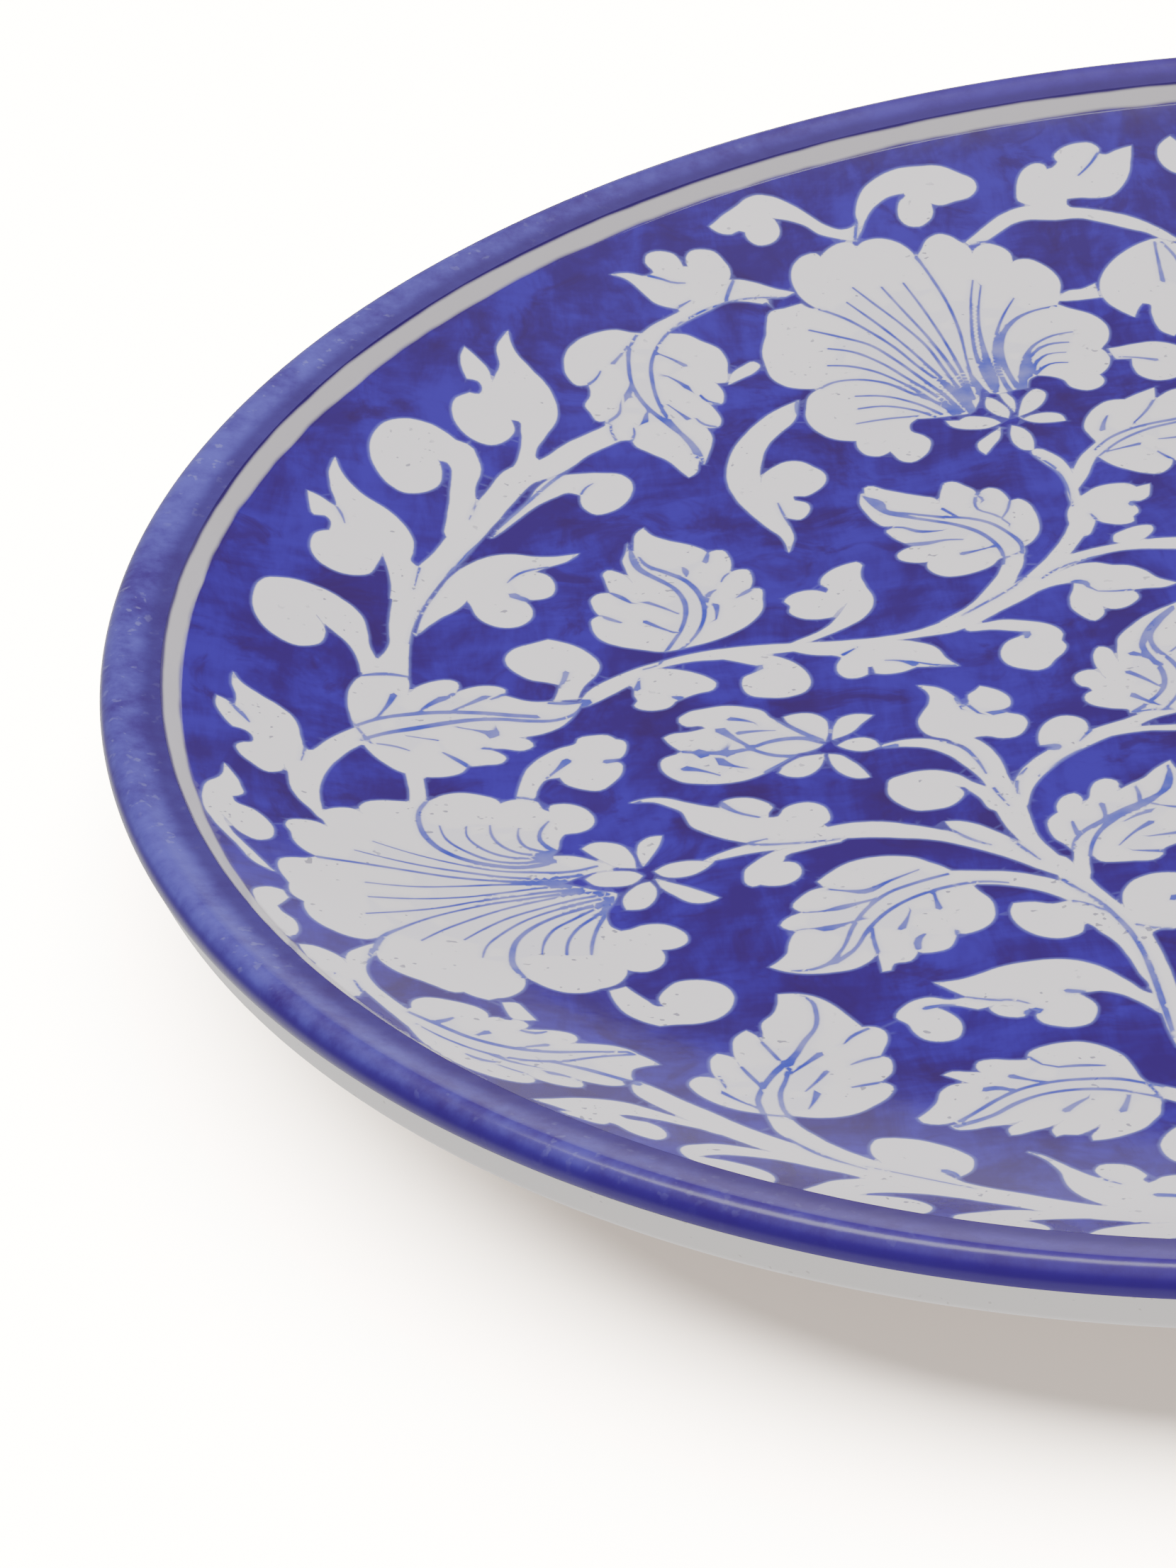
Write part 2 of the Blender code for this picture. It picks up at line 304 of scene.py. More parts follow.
def paint_big_flower_a():
    white(
        "-50.5,102.5! -52.5,105 -53.5,108 -53.6,111 -52.8,113.5 -51,115.3 -49.5,115.6 -48.9,114.8! "
        "-47.8,116.3 -45.5,117.9 -44.2,118 -43.4,116.6! -42.3,117.9 -40,118.6 -38,118.1 -36,116.3 "
        "-34.8,113.8! -33.8,115.7 -32.3,118.3 -30.8,119 -29.3,118.4 -28,117 -27,115.8 -26.5,114! "
        "-25.5,115.5 -24.3,116.1 -22.5,115.3 -21,113.3 -21.1,111! -20,111.6 -18.5,111.5 -16.8,110 "
        "-15.3,107.5 -14.8,105 -15.1,102.8 -16,99.2! -14.5,97.8 -12,95.8 -10.3,93 -9.9,90 -10.5,87.3 "
        "-11.8,84.8! -11,82.5 -11.3,80 -12.3,78 -13.2,77! -12.8,75 -13.8,73.3 -15.5,72.8 -17.3,74 "
        "-18.5,77 -20,78.3 -21.8,79! -22.8,78.3 -23.6,75.5! -25.5,75.4 -27.5,74.8 -29,75.3! -30,77.5 "
        "-31,73 -32.5,70 -35,69.8 -37.5,69.8 -40,70.1! -41.3,68.5 -41.3,66.5 -39.8,64.8 -39,63 -39.3,61 "
        "-40.5,58.8 -42.3,57.5 -43.3,58 -44.3,59.8 -44.8,61.3! -46.5,60.3 -48,61 -49,63 -49.1,65.5! "
        "-52,66.8 -54.3,70 -55.3,73.5 -55,77 -54,80.5 -52.5,82! -54,82.1 -57,83 -59,85.5 -59.6,88.5 "
        "-59.8,92 -59.4,94.5 -58.8,96.5 -58.4,99.5 -57.5,102.3 -55.5,103 -53,104! -52,103"
    )
    brush("-47.8,78.8,.4 -44,78,.5 -40,75,.5 -36.5,70.5,.6")
    brush("-47.8,75,.5 -44.5,75,.5 -40.5,73,.5 -37.5,70,.6")
    brush("-48.5,70.6,.4 -45,71,.5 -40,70.8,.5")
    brush("-52.5,82,.6 -50.5,83.3,.5 -47,83.5,.5 -43.5,82,.6 -40,78,.6 -35.5,72,.6 -35,70,.6")
    brush("-52.5,97.5,.4 -48.5,95.5,.5 -44.5,93,.5 -41,88,.5 -38,82,.6 -35,75,.6 -33.5,70.5,.6")
    brush("-50.3,92.5,.4 -47,91.3,.5 -43.5,88,.5 -40,82.5,.5 -36.5,76,.6 -34,70,.6")
    brush("-50.8,88,.4 -48,87.5,.5 -44.5,85.5,.5 -41,81.5,.5 -37,74.5,.6 -34.4,70,.5")
    brush("-50.5,102.6,.5 -47,100,.55 -44,96.5,.5 -41,92,.5 -38,85.5,.5 -35,79,.6 -33,72,.7")
    brush("-46.3,104,.3 -43,99,.45 -39.5,92.5,.45 -37,86.5,.5 -34,77.5,.6 -32.5,70,.6")
    brush("-45,107.5,.3 -42.5,103.5,.4 -39,97.5,.4 -36.3,91.5,.5 -34.5,84,.5 -32.6,74,.6")
    brush("-40.8,107.3,.3 -38.5,101.5,.4 -35.8,94,.45 -33.5,85,.5 -32,74,.6")
    brush("-37.5,108,.3 -35.8,102.5,.4 -34,95,.45 -32.5,86,.5 -31.5,74,.6")
    brush("-34.8,114,.7 -34.3,112.5,.5 -33,108,.5 -31.8,102.5,.5 -31,95,.5 -31,86,.4 -31,78,.6")
    brush("-32.5,75,.8 -32.3,72,1.2 -32.1,69.5,1.3")
    brush("-30.8,81,.4 -30.4,78,1 -30.2,75.5,1.5")
    brush("-27.3,107.5,.25 -28,104,.35 -29,96.5,.4 -29.5,88,.6 -29.1,81.5,.9 -28.2,75.5,1")
    brush("-26.3,106,.25 -27.3,101,.35 -28,95,.4 -28.2,87.5,.9 -28.2,81,1.5 -28,77,1.2")
    brush("-22,102,.25 -24,98,.4 -25.6,93.5,.5 -26.9,86.5,.6 -26.9,81.5,.7 -26.2,75,.7")
    brush(
        "-16.3,98.8,.5 -19.5,98.2,.5 -22,96.8,.7 -24.3,93.8,.9 -25.8,89,1.1 -26,84,1 -25.6,80,.8 "
        "-25,75.5,.7"
    )
    brush("-15,91,.3 -18,90.5,.5 -20.5,88.8,.55 -22.5,85.5,.7 -23.5,81,1.2 -24.2,75.5,1.2")
    brush("-16,88,.4 -19,88,.6 -21.3,86,.6 -22.6,82,.9 -23,79,1.2")
    brush("-16.8,85,.3 -19.5,85,.5 -21.3,83,.6 -22.3,80,.9")
    brush("-17,81.8,.3 -19.5,82,.5 -21,80.7,.6 -21.8,79.3,.6")
    white("-16.5,100.3! -15.2,101.6 -13.8,102.6 -12,102.6 -9.9,103.7! -9.7,100! -13,99.9")


def paint_calyx_a():
    white("-36.1,68.3! -35.3,66.3 -33,65.1 -30.5,65 -28.8,66! -29.8,67.5 -31.5,68.5 -33.3,68.8 -34.3,68!")
    white("-29.9,73 -30.1,71 -29.3,69 -27.5,67.1! -27.1,69 -27.8,71.5 -29,73.5 -29.6,74!")
    white("-27.8,74.6! -26.8,74.6! -26,72 -26.4,68.8! -27.3,72")
    white("-22.5,74.8 -21.5,73.5 -22,71 -23.5,68.8 -26,67.3! -25.5,69.5 -24.3,73")
    white("-25.5,66.3! -24.3,67.1 -22,67.4 -20.3,66.5 -19.8,64.5! -22,64.5 -24,65")
    white("-27.3,64.8! -27.8,62 -27.5,59 -26.5,57.3 -25.3,57! -25,59.5 -25.3,62 -26.3,64")
    white("-29,64.5! -31,62.5 -32.6,60.5 -32.6,59 -31.9,57.3! -30.8,59.3 -29.5,61.5")
    stem("-24.8,56.3,1.8 -23.3,53.5,2.4 -22,50,1.8 -21.6,46.5,1.4 -21.6,44,1.3 -21.8,40,1.3")
    brush("-25.3,55.2,.4 -23.1,51,.45 -22.3,46,.4 -22.3,40,.3")


def paint_top_right():
    white(
        "-80,110! -77.5,110.5 -75,110.1 -73.8,111 -74.8,113 -74.3,114.8 -72.3,115.6 -70.5,115.1 -69.8,114 "
        "-69.4,112.5! -68.6,112.5! -68.5,115 -67.8,115.9 -65.8,116.3 -64.5,115.9 -63.3,114 -62.6,112.3 "
        "-62.9,109.8! -61.3,109.8 -59,109 -56.5,107.8 -53.8,106.8! -55,105.9 -60,105.8 -63.5,104.9 "
        "-66.5,103.5 -69.5,101.3 -71,103! -72.5,103.4 -74.3,104.3 -75.5,106 -76.8,108 -78.3,109.5"
    )
    brush("-74.6,110.2,.6 -72.5,109.5,.5 -71.5,109,.5 -69.4,108.9,.25")
    brush("-62.2,109.8,.5 -63.1,107.5,.6 -63.8,105.2,.5")
    brush("-71.2,103.2,.6 -70.2,104,.4 -69,105,.2")
    brush("-54,105.6,.35 -62,105.2,.4 -66.5,103.2,.45 -71,99.7,.45")
    white(
        "-64.5,121.3! -62.5,123.5 -60,125.8 -58.5,127.3 -56.8,128.1 -54.5,127.8 -52,126.3 -49.5,124 "
        "-47.3,121.8 -45,120.8 -43.5,121.3 -42.8,122! -42.8,119.5 -43.8,118.3! -46,119 -48.5,120 "
        "-50.5,122 -52.5,122.9 -55,123.4! -54.4,122 -54.4,120 -55.5,118.3 -57.8,117.6 -59.1,118.8 "
        "-59.4,120.3! -60.3,120.6 -61.5,119.9 -63.3,120.1"
    )
    white(
        "-43.2,118.3! -42.4,122 -42.5,124 -42,126.5 -40.8,129.3 -38.3,131.8 -35.5,133.3 -32,133.8 "
        "-28.5,133.6 -26,132 -24,130.3 -23.8,129 -25,127 -27.5,126.1 -30,125.5 -31.1,126! -31,124 "
        "-31.8,122.3 -33.5,121 -35,121.3 -36.1,123 -36.1,125 -35.5,126.8 -34.6,127.8 -34.8,128.4! "
        "-37,127.8 -39.3,126 -41,123.5 -42,121"
    )
    brush("-42.6,123,.3 -42.9,121,.5 -43.4,118.4,.5")
    white(
        "-16.4,124! -18,125.3 -17.9,127.5 -17.3,130 -16,132 -14.3,132.9 -13.1,132.5 -12.8,131.5! "
        "-11.8,131.8 -10.9,132.9! -11.3,134 -10,135.5 -7.5,136.3 -5.3,136 -4.4,134.8 -4.6,133.8! "
        "-3.5,133.4 -2,134 .5,134.6! 0,132 -.8,129 -2.5,126 -4.3,124.5 -6.5,124.4 -9,124.8 -10.8,124.8! "
        "-11,123.5 -10,122.3! -13,121.5 -16.6,122.5!"
    )
    stem(
        "-26.6,116.6,1 -25,117.4,2 -22.8,119.3,2.4 -20,121.5,2.6 -17,122.4,3 -13,121.8,3 -9.5,121.3,2.2 "
        "-6,119.9,2.5 -2.5,117.9,2.6 .3,115.8,1.8 2,114,1.6 3.4,112.6,.8"
    )
    brush("-8.3,129.6,.25 -6,132,.5 -4.6,134,.5")
    brush("-26.3,116.4,.5 -24,116.6,.4")
    white(
        "0,113.3! -2.5,112.3 -5.5,110 -7.8,107 -9,104 -9.3,101 -8.8,98.5 -7.5,96 -5.6,93.4! -4.8,95.5 "
        "-3.9,97! -2.9,96.6 -3,94 -2.9,90.5 -2.5,88.4 -1,86.3! 1,89 3.2,92.4 4.4,95.4! 6.6,95.6 8,99 "
        "8,103 6.4,107.6 3.6,111.4 1.2,113.4!"
    )
    brush(".4,112.6,.4 .2,108,.5 0,102.6,.75")
    brush("1.4,112.4,.4 2.8,108.4,.5 3.2,103,.5 2,97,.3")
    white(
        "-10.8,84.6! -9,84.8 -7,85.1 -4.5,85.2 -2,84 0,81.5 .6,78.5 -.5,75.5 -3,73.5 -5.5,73.4 -7.3,75 "
        "-8.1,78 -7.9,80.8! -10.2,81.2!"
    )
    brush("-10.9,84.8,.5 -10.8,82.6,.5 -10.3,81,.5")
    brush("-9.5,81.7,.35 -7,80.8,.5 -4.6,79.5,.8")


def paint_centre_leaf():
    stem("-21.5,44.6,1 -20.2,48,2 -18.9,51.8,2.2 -17.4,54.6,1.8 -15,57.4,1.8")
    white(
        "-16.6,52.5! -15.5,50.5 -13.5,48.5 -11.5,47 -9.5,46.4 -7.8,47.8 -7,50! -5,48.2 -3.2,49.6 -2.2,52! "
        "1,52 3.4,53.8 4.6,56.4! 7.4,57.6 10,60.4 12.6,64! 8.6,64.6 5.6,65.8! 4.4,68.6 1.4,69.6 -1,68.8! "
        "-2,70 -4,69.8 -6,68.3 -6.7,67.6! -6.3,71.1! -7.5,70.5 -9,69.8 -10.8,68.6! -13,68.8 -15.3,67 "
        "-16.8,64.5 -17.5,61.5 -17,59 -16.5,57 -17.4,55"
    )
    brush("-17,55,.4 -14.5,58,.5 -11,60,.6 -5,61.3,.6 1,62,.5 8,63,.3")
    brush("-16.8,53,.4 -13,57,.5 -9,59.3,.6 -5,60.3,.6 1,61,.5 8,62.6,.3")
    brush("-15.2,60.5,.9 -14.7,62.5,.6 -13.9,64.5,.25")
    brush("-10.5,61.7,.3 -8.5,64.5,.45 -6.9,67.6,.5")
    brush("-15.2,54.2,.3 -13,54.8,.45 -10.8,55.3,.8")
    brush("-8.7,52.6,.3 -7.8,51,.5 -7,49.8,.5")
    brush("-8,56.1,.25 -6,56,.45 -3.6,56.2,.7")
    brush("-3,63,.25 -2.2,65,.45 -1.2,68.6,.5")
    brush("-1.6,57.6,.25 -1.4,55,.45 -2.2,52,.5")
    brush("3.4,63.4,.25 4.2,64.6,.45 5.4,65.8,.5")


def paint_leaf_on_main_vine():
    white(
        "-80,13.6 -83,14.8 -86,16.5 -88.3,19 -89,22 -88.8,24 -87.8,24.8! -88.5,27 -88.6,29.5 -87.8,30.5 "
        "-86,30.6! -86.5,34 -86.6,36 -86,36.7 -84.5,35.8 -83.3,34 -82.9,32.8! -83.6,37 -83.8,39 "
        "-83.4,40.5 -82.9,43.3! -82.6,41.5 -82.1,41.4! -81.9,44 -81.5,46 -80.4,47.4! -79.5,45.3 -77,43 "
        "-74.5,41.3 -73,39.8 -72.3,38.5! -71,39 -70.3,38.8 -69.6,37 -69.4,34.5 -70,32.3! -68.5,33 "
        "-67.5,32.8 -67,31 -67,29.5 -67.6,27.4! -66.3,27.3 -66.1,24.5 -66.4,21.5 -68,18.8 -70.5,16.5 "
        "-73.5,15 -77,14"
    )
    brush(
        "-82.6,42.2,.3 -82.4,39,1 -81.8,36.4,1 -81,35,.9 -79.5,33,.8 -77.5,30,.7 -76.4,26,.75 "
        "-76.5,22.5,.7 -77.5,18.5,.6 -78.8,15.5,.6 -80.3,12.5,.5"
    )
    brush(
        "-81.5,39.5,.3 -80.8,37.3,.6 -78.5,34.8,.8 -76,32,.8 -74.5,28.5,.8 -73.9,24.5,.75 -74.3,20.5,.6 "
        "-75.8,16.5,.5 -78,13.4,.5 -80,11.3,.4"
    )
    brush("-72.8,36.2,.9 -72.5,37.4,.7 -72.2,38.6,.5")
    brush("-75.9,35.4,.3 -75.6,34.2,.9 -75.6,32.8,.2")
    brush("-70,32.4,.5 -70.7,31.4,.35 -71.1,30.3,.2")
    brush("-72,28.3,.3 -72.7,27.8,.7 -73.3,25.3,.25")
    brush("-72.3,24.1,.9 -72.3,22.6,.6 -72.6,20.5,.2")
    brush("-67.3,27.4,.7 -68.4,26.5,.8 -69.4,25.6,.2")
    brush("-87.8,24.9,.4 -86.5,23.6,.7 -85.1,22.4,.3")
    brush("-81.3,27,.7 -79.5,25.3,.5 -77.5,23.1,.25")
    brush("-86,30.6,.4 -84.8,29.3,.8 -83.5,27.4,.3")
    brush("-82,22,.8 -80,19.8,.5 -77.8,17.7,.25")


def paint_trefoil_on_vine():
    white(
        "-52.8,31.4 -52.1,30.3! -52.6,28 -52.3,25 -51.6,21.5 -52,19 -53.5,16.5 -56,14.5 -59,12.8 -62,11.6 "
        "-64,11.5! -62.6,12.4 -60,13.8 -58,15.5 -56.5,18 -55.1,20.8! -56.1,19.6 -57.3,17.6! -59.5,17.5 "
        "-61.5,18.3 -62.8,20 -62.6,21.8 -63.2,23 -62.5,24.3 -60.5,25.2 -58.8,25 -57.6,24.1! -57.2,25 "
        "-58,26.5 -57.5,28.5 -55.5,30.5 -53.5,31.3"
    )


def paint_main_vine():
    stem(
        "-91.2,2.4,1.2 -89.6,4.4,2.8 -86.6,6.8,3 -83.4,9.2,1.8 -81,10.2,1.4 -77,11.1,1.8 -72,11.2,2.6 "
        "-67,11.1,2.4 -62,10.8,1.8 -57,10.4,1.4 -52,10.3,1.2 -47,10.7,1.6 -42.5,11.8,3 -40,12.8,2.8 "
        "-36.5,15.3,2.8 -32,18.9,3.4 -29,22,3.6 -26.6,26,2.6 -24.5,29.6,2.4 -22.6,33.5,2.6 -21.5,37.5,2 "
        "-21.7,41,1.4 -21.8,44,1.2"
    )
    stem("-43,12.6,1.6 -40.6,14.2,1.8 -38,16.2,2.4 -35.3,19.6,3 -33.3,23.5,2.6 -32.1,27,2.6 -31.9,30,2.4")
    brush("-40.6,14.2,.3 -38.5,15.8,.5 -36.5,17.3,.5 -32.8,20.3,.4 -31,22.4,.3")
    brush("-80.4,12.4,.4 -80.8,10.6,.4 -83,9.6,.3")
    stem(
        "-30,21,2 -26.5,24.6,2.6 -23,26.2,2.2 -19,27.3,1.8 -15,27.5,2.2 -10.8,26.9,3 -6,25.4,2.8 "
        "-2,22.4,2.2 .4,18,1.6 1.4,13.6,1.2"
    )
    brush("-29,21.5,.3 -27,23.3,.45 -24,24.8,.45 -21.5,25.6,.4 -17,26.3,.3")
    white(
        "-21.7,41.5 -20.3,42.8 -18.5,44.3 -16,44.8 -14,44.3 -13.1,43.2! -11.2,43.7! -11.5,42 -12,40.3 "
        "-13.2,39.4 -14.4,39.3 -13.9,37.5 -14,36.2 -14.8,35.3 -14.9,34 -16,33.5 -18,34 -19.3,35 "
        "-19.7,36.2! -20.3,34 -21.5,31.6 -23,34"
    )
    brush("-20.3,37.5,.25 -19.8,35.8,.5")
    brush("-14.2,39,1.2 -14.5,38.6,1")
    white("-18.3,29! -18,30.8 -16.5,31.8 -14,32.6 -12.8,32.3 -12.7,31.3 -13.5,29.8 -14.8,28.6 -16.5,28")
    white(
        "-29,20.5 -27,22.4 -25.5,23.3 -23.5,24.1 -21.5,24 -19.5,22.8 -17.5,22.3 -15.8,20.8 -14,18 "
        "-11.8,16.4! -13.5,15.7 -16,15.9 -18.2,15.9! -17.5,15 -17.4,13.8 -18.5,12.3 -20,11.5 -21.3,11.6 "
        "-22.3,12.5! -22.5,10.5 -23.8,9.1 -25.3,10.8 -26.3,13.3 -26.1,15.5 -25.3,18 -25,19.6! -27.5,19.4 "
        "-31,18"
    )
    brush("-25.1,19.7,.9 -23.7,19.1,1.1 -23.4,18,.6")
    brush("-22.3,16.5,.25 -20,16,.4 -18,15.9,.5")
    white(
        "-49.5,51.5! -48.9,51.9 -47,50.5 -44.5,48.8 -42,47.3 -40.5,46.5 -39.9,45.1! -39,49 -38.5,50.3 "
        "-37.5,50.5 -36,49 -34.8,47.3 -34.5,45.8! -33.8,47 -32.8,47.5 -31.8,47 -30.8,44.8 -30.5,43! "
        "-29.3,43.6 -28.5,42.8 -27.6,39.5 -27.4,37 -28,33.5 -29.3,31.3 -30.3,30.5! -30.5,28.5 -33.8,28 "
        "-35,26.5 -37,25.3 -39.5,24.7 -41.5,24.9 -43,26.3 -43.5,28.3 -43.3,29.3! -45,29.5 -47,31 -47.1,32 "
        "-46,33.3 -44.8,34 -45.3,34.5! -47.3,37.3 -47.8,39 -47,39.5 -46.8,40.1! -48,40.3 -49,41.8 "
        "-50,44.5 -50.5,47.5 -50.1,50! -49.7,48.6!"
    )
    brush(
        "-49.8,49.2,.4 -48.8,46.6,.8 -47.3,44,.9 -44.5,42,.7 -41.5,40.3,.7 -38.5,38.5,.75 -35.5,35.5,.75 "
        "-34,32.5,.7 -33.3,29.5,.6 -33.6,26.2,.5"
    )
    brush(
        "-49.2,48.4,.7 -48.1,46.8,1.6 -47.5,44.6,.9 -44,42.8,.6 -40,41,.6 -36.5,39.8,.6 -34,38,.6 "
        "-32,35,.6 -30.5,31,.7 -30.7,28.6,.5"
    )
    brush("-39.7,43.3,.6 -38.8,41.8,.5 -37.5,40,.25")
    brush("-34.4,46.6,.5 -35,45,.5 -35,42,.4 -33,40,.4 -31.3,36.9,.25")
    brush("-34.3,46.2,.5 -34,44.2,.4")
    brush("-30.5,43.2,.5 -31.2,40.6,.4 -32.1,38.9,.25")
    brush("-47.9,39.8,.4 -45.5,39.3,.5 -43.8,37.9,.8 -40.4,37.3,.2")
    brush("-45.5,34.5,1 -42.8,34.3,1 -40.4,34.6,.5 -38,34.2,.25")
    brush("-38.5,30.4,.9 -36.5,30.8,.5 -34,31.5,.3")
    brush("-33.2,27.8,.25 -30.8,29.2,.3")


def paint_buds_under_vine():
    white(
        "-84.6,8.2 -82.5,9.4 -80,9 -77,7.5 -74.8,5.5 -74,4 -74.5,2.5 -76.5,2 -78.3,1.3 -79.6,.6! "
        "-80.3,-.5 -82,-1 -83.8,-.5 -84.8,.8 -84.3,1.8 -84.6,3 -84.5,4.6!"
    )
    brush("-79.7,1.8,.5 -78.9,1.3,1.2")
    brush("-83.7,7.4,.2 -84.2,4.8,1")
    white(
        "-73,10.2! -70,8.4 -68,7.1! -68.7,5.6 -70.2,4.7 -70.6,2.5 -69.8,0 -67.5,-1 -65,-1.4 -62.8,-.5 "
        "-61.9,1.5 -62,3.5 -63,6 -65,8.5 -67.5,10 -70,10.8"
    )
    brush("-69,6,1 -67.9,6.8,1.2")
    white(
        "-64,10.6 -61,8.5 -58.5,7.8! -57.3,7 -58,5.3 -58,3 -57,1.6 -55.3,1.5 -54.4,2! -54.2,3.8! "
        "-53.6,3.8! -53.3,2! -51.5,1.5 -49.5,1.8 -48,2.5! -46,2.2 -42.7,1.6! -44,3.8 -45,6.8 -47,8.5 "
        "-49,9.5 -52,10.4 -57,10.6"
    )
    brush("-51.8,5,.2 -50,4.5,.45 -48.2,3.1,1")
    brush("-48.4,4,.25 -45.5,2.4,.5 -43,1.7,.4")
    brush("-55,9.1,.2 -57,7.6,.7")
    white(
        "-40.5,12 -39,11.6 -35.5,11.8 -32.5,10.8 -30,9.5 -28.8,8 -28.4,6.5 -28.8,5 -28.4,3.8 -29,2 "
        "-30.3,.5 -31.5,-1.3 -32.8,-1.7 -34.5,-1 -36.3,.5 -36.9,2.5 -36.5,4.8 -35.5,6.3 -34,7.1! -33.2,8 "
        "-35,9 -37.5,9.8 -40.5,10.3"
    )
    brush("-34.2,7.7,.7 -32.9,7.8,1.2 -33.1,6.7,.6")


def paint_lying_leaf():
    brush("-119.6,10.1,.4 -116.5,10.9,.8 -113.7,10.5,.5")
    white(
        "-119.8,9.6 -121,7 -121.5,3.5 -121.2,0 -120.6,-3.5 -119.5,-7.5 -117.5,-11 -115,-13.5 -112,-14.4 "
        "-109.3,-14 -107.5,-13 -106.9,-11.6! -104.5,-11.2 -102.5,-10.8 -101.9,-9.8 -102.8,-8.3 "
        "-104.5,-7.2! -102,-7.3 -99.5,-7.9 -98.3,-7 -98.8,-5.5 -100,-4.7! -97,-4 -94.5,-2.5 -93,-.5 "
        "-92,1.6 -91.7,2.7! -95,3.7 -98,4 -100,5 -101.6,6! -101.3,7.3 -102,8 -104,8.4 -106,7.8 -108,6.4! "
        "-107.3,7.8 -107.4,9.3 -108.3,9.9 -110.5,9.4 -112.5,8 -113.8,6! -113.6,8 -113.8,10 -117,10"
    )
    brush("-120.5,-2.5,.6 -117.5,-.3,.7 -113,1.3,.85 -108.5,1.9,.9 -104,1.6,.9 -100,.8,.8 -97.5,.3,.8")
    brush(
        "-120,-6,.6 -117,-4,.8 -113,-2.3,1 -109,-.8,1 -105.5,0,.9 -102,0,.8 -98.5,-.7,.8 -95,-.9,.7 "
        "-92.5,.3,.7 -90.8,3,1.2"
    )
    brush("-115.6,5.8,1 -116.5,3,.6 -117.8,.1,.25")
    brush("-109.5,5.3,1.1 -111,3.8,.8 -112.5,1.9,.25")
    brush("-104,5.6,1 -106,4,.6 -108.3,2.3,.25")
    brush("-101.4,6.2,.8 -103.2,5,.25")
    brush("-108,6.4,.7 -109.2,5,.5")
    brush("-107.6,-1.9,.25 -105,-2.8,.5 -103.2,-3.6,1.6")
    brush("-103,-2.9,1 -103.6,-4.3,.9")
    brush("-114.3,-4.3,.12 -110.3,-5.2,.3")
    brush("-118,-6.7,.25 -115.5,-7.2,.4 -114,-8,.2")
    brush("-109.8,-8.2,.3 -107.8,-10.3,.8 -106.7,-11.6,.8")
    brush("-104.7,-7,.8 -103.4,-7.4,.5")
    brush("-121,-1.6,.3 -120,-4,.4 -118.8,-6.6,.3")
    stem(
        "-119.6,-4.4,3.4 -122.3,-7.2,3.4 -124.5,-10.6,3.4 -126.4,-14,4.2 -127.1,-18,3.8 -126.6,-22,2.6 "
        "-125.6,-25,1.2 -125.2,-26.4,.8"
    )
    white(
        "-135.8,6.9! -135,5 -133,2.8 -130.5,.5 -128.8,-1.5 -127.9,-4 -127.5,-7 -127.1,-9.3 -125.5,-11 "
        "-127,-16 -129.2,-15.8 -129.6,-14.3! -130,-16 -131.5,-16.7 -133.5,-15 -135,-13 -135.3,-11 "
        "-134.5,-10.2! -133.5,-9.8 -133.5,-8 -134.3,-7 -135.8,-6.6! -137,-4.5 -137.9,-1.5 -137.8,.4! "
        "-136.8,-.2 -135.6,-1.6! -135.4,1 -135.9,4"
    )
    brush("-136.2,-.9,.3 -135,-2.6,.7 -133.8,-4.9,.2")
    brush("-126.9,-9,.5 -127.5,-12.8,.15")
    white(
        "-136.8,-16.5! -135.8,-18.5 -134.8,-21.5 -134.6,-23.5 -135.8,-24.5! -135.5,-25.8 -133.5,-27 "
        "-131.5,-29.5 -130.9,-31.5 -131.3,-34 -132.8,-34.8 -134.5,-33.8 -136,-31.5 -136.9,-29.8! -136,-33 "
        "-134.5,-36 -132.5,-39.5 -130.8,-42.5! -132.8,-41 -135,-37 -137.5,-32.5 -138.9,-29 -139.3,-25 "
        "-138.8,-22 -137.3,-20"
    )


def paint_bud_between():
    white(
        "-99,-19.9 -98.3,-17.5 -97,-15.3 -95.3,-15! -94.8,-16.5 -93,-18 -90.5,-18.8 -88.8,-17.3 -87.5,-15 "
        "-87.5,-13 -89,-12! -87.5,-11.6 -86.7,-10 -86.9,-7.5 -87.8,-7! -88.8,-5.8 -90.5,-5.5 -92.5,-6 "
        "-92.8,-7 -95,-8 -97.5,-10 -99.3,-12.5 -100.3,-16 -101,-19.4!"
    )
    brush("-94.3,-11.2,1.3 -95.5,-13,.6 -97,-15,.4")
    brush("-89.3,-12.1,1 -87.4,-12.1,.8")
    brush("-102,-19.4,.4 -100,-19.6,.5 -98.6,-20.3,.4")
    white(
        "-95,19.6! -97,18.8 -99.5,17.6 -100.8,15.3 -100.6,13.5 -99.5,11.5 -97.5,9.5 -95.8,8.8 -94.1,7.8! "
        "-94.3,6.5 -95,4! -92,4! -91,7 -89.3,9.5 -88.7,12 -89.5,14.5 -91,16.8 -92.8,18.4 -94.5,19.4"
    )
    brush("-93.1,10.9,.9 -93.5,9,.7 -94.2,7.2,.5")
    brush("-95.8,3.5,.5 -93.5,3.1,.8 -91.6,3.2,.9")
    brush("-91.6,3.4,.8 -90.5,3,1.1")
    stem("-113.6,-13.6,2 -113.5,-15,2 -113.3,-17.5,1.9 -113.3,-21,2")


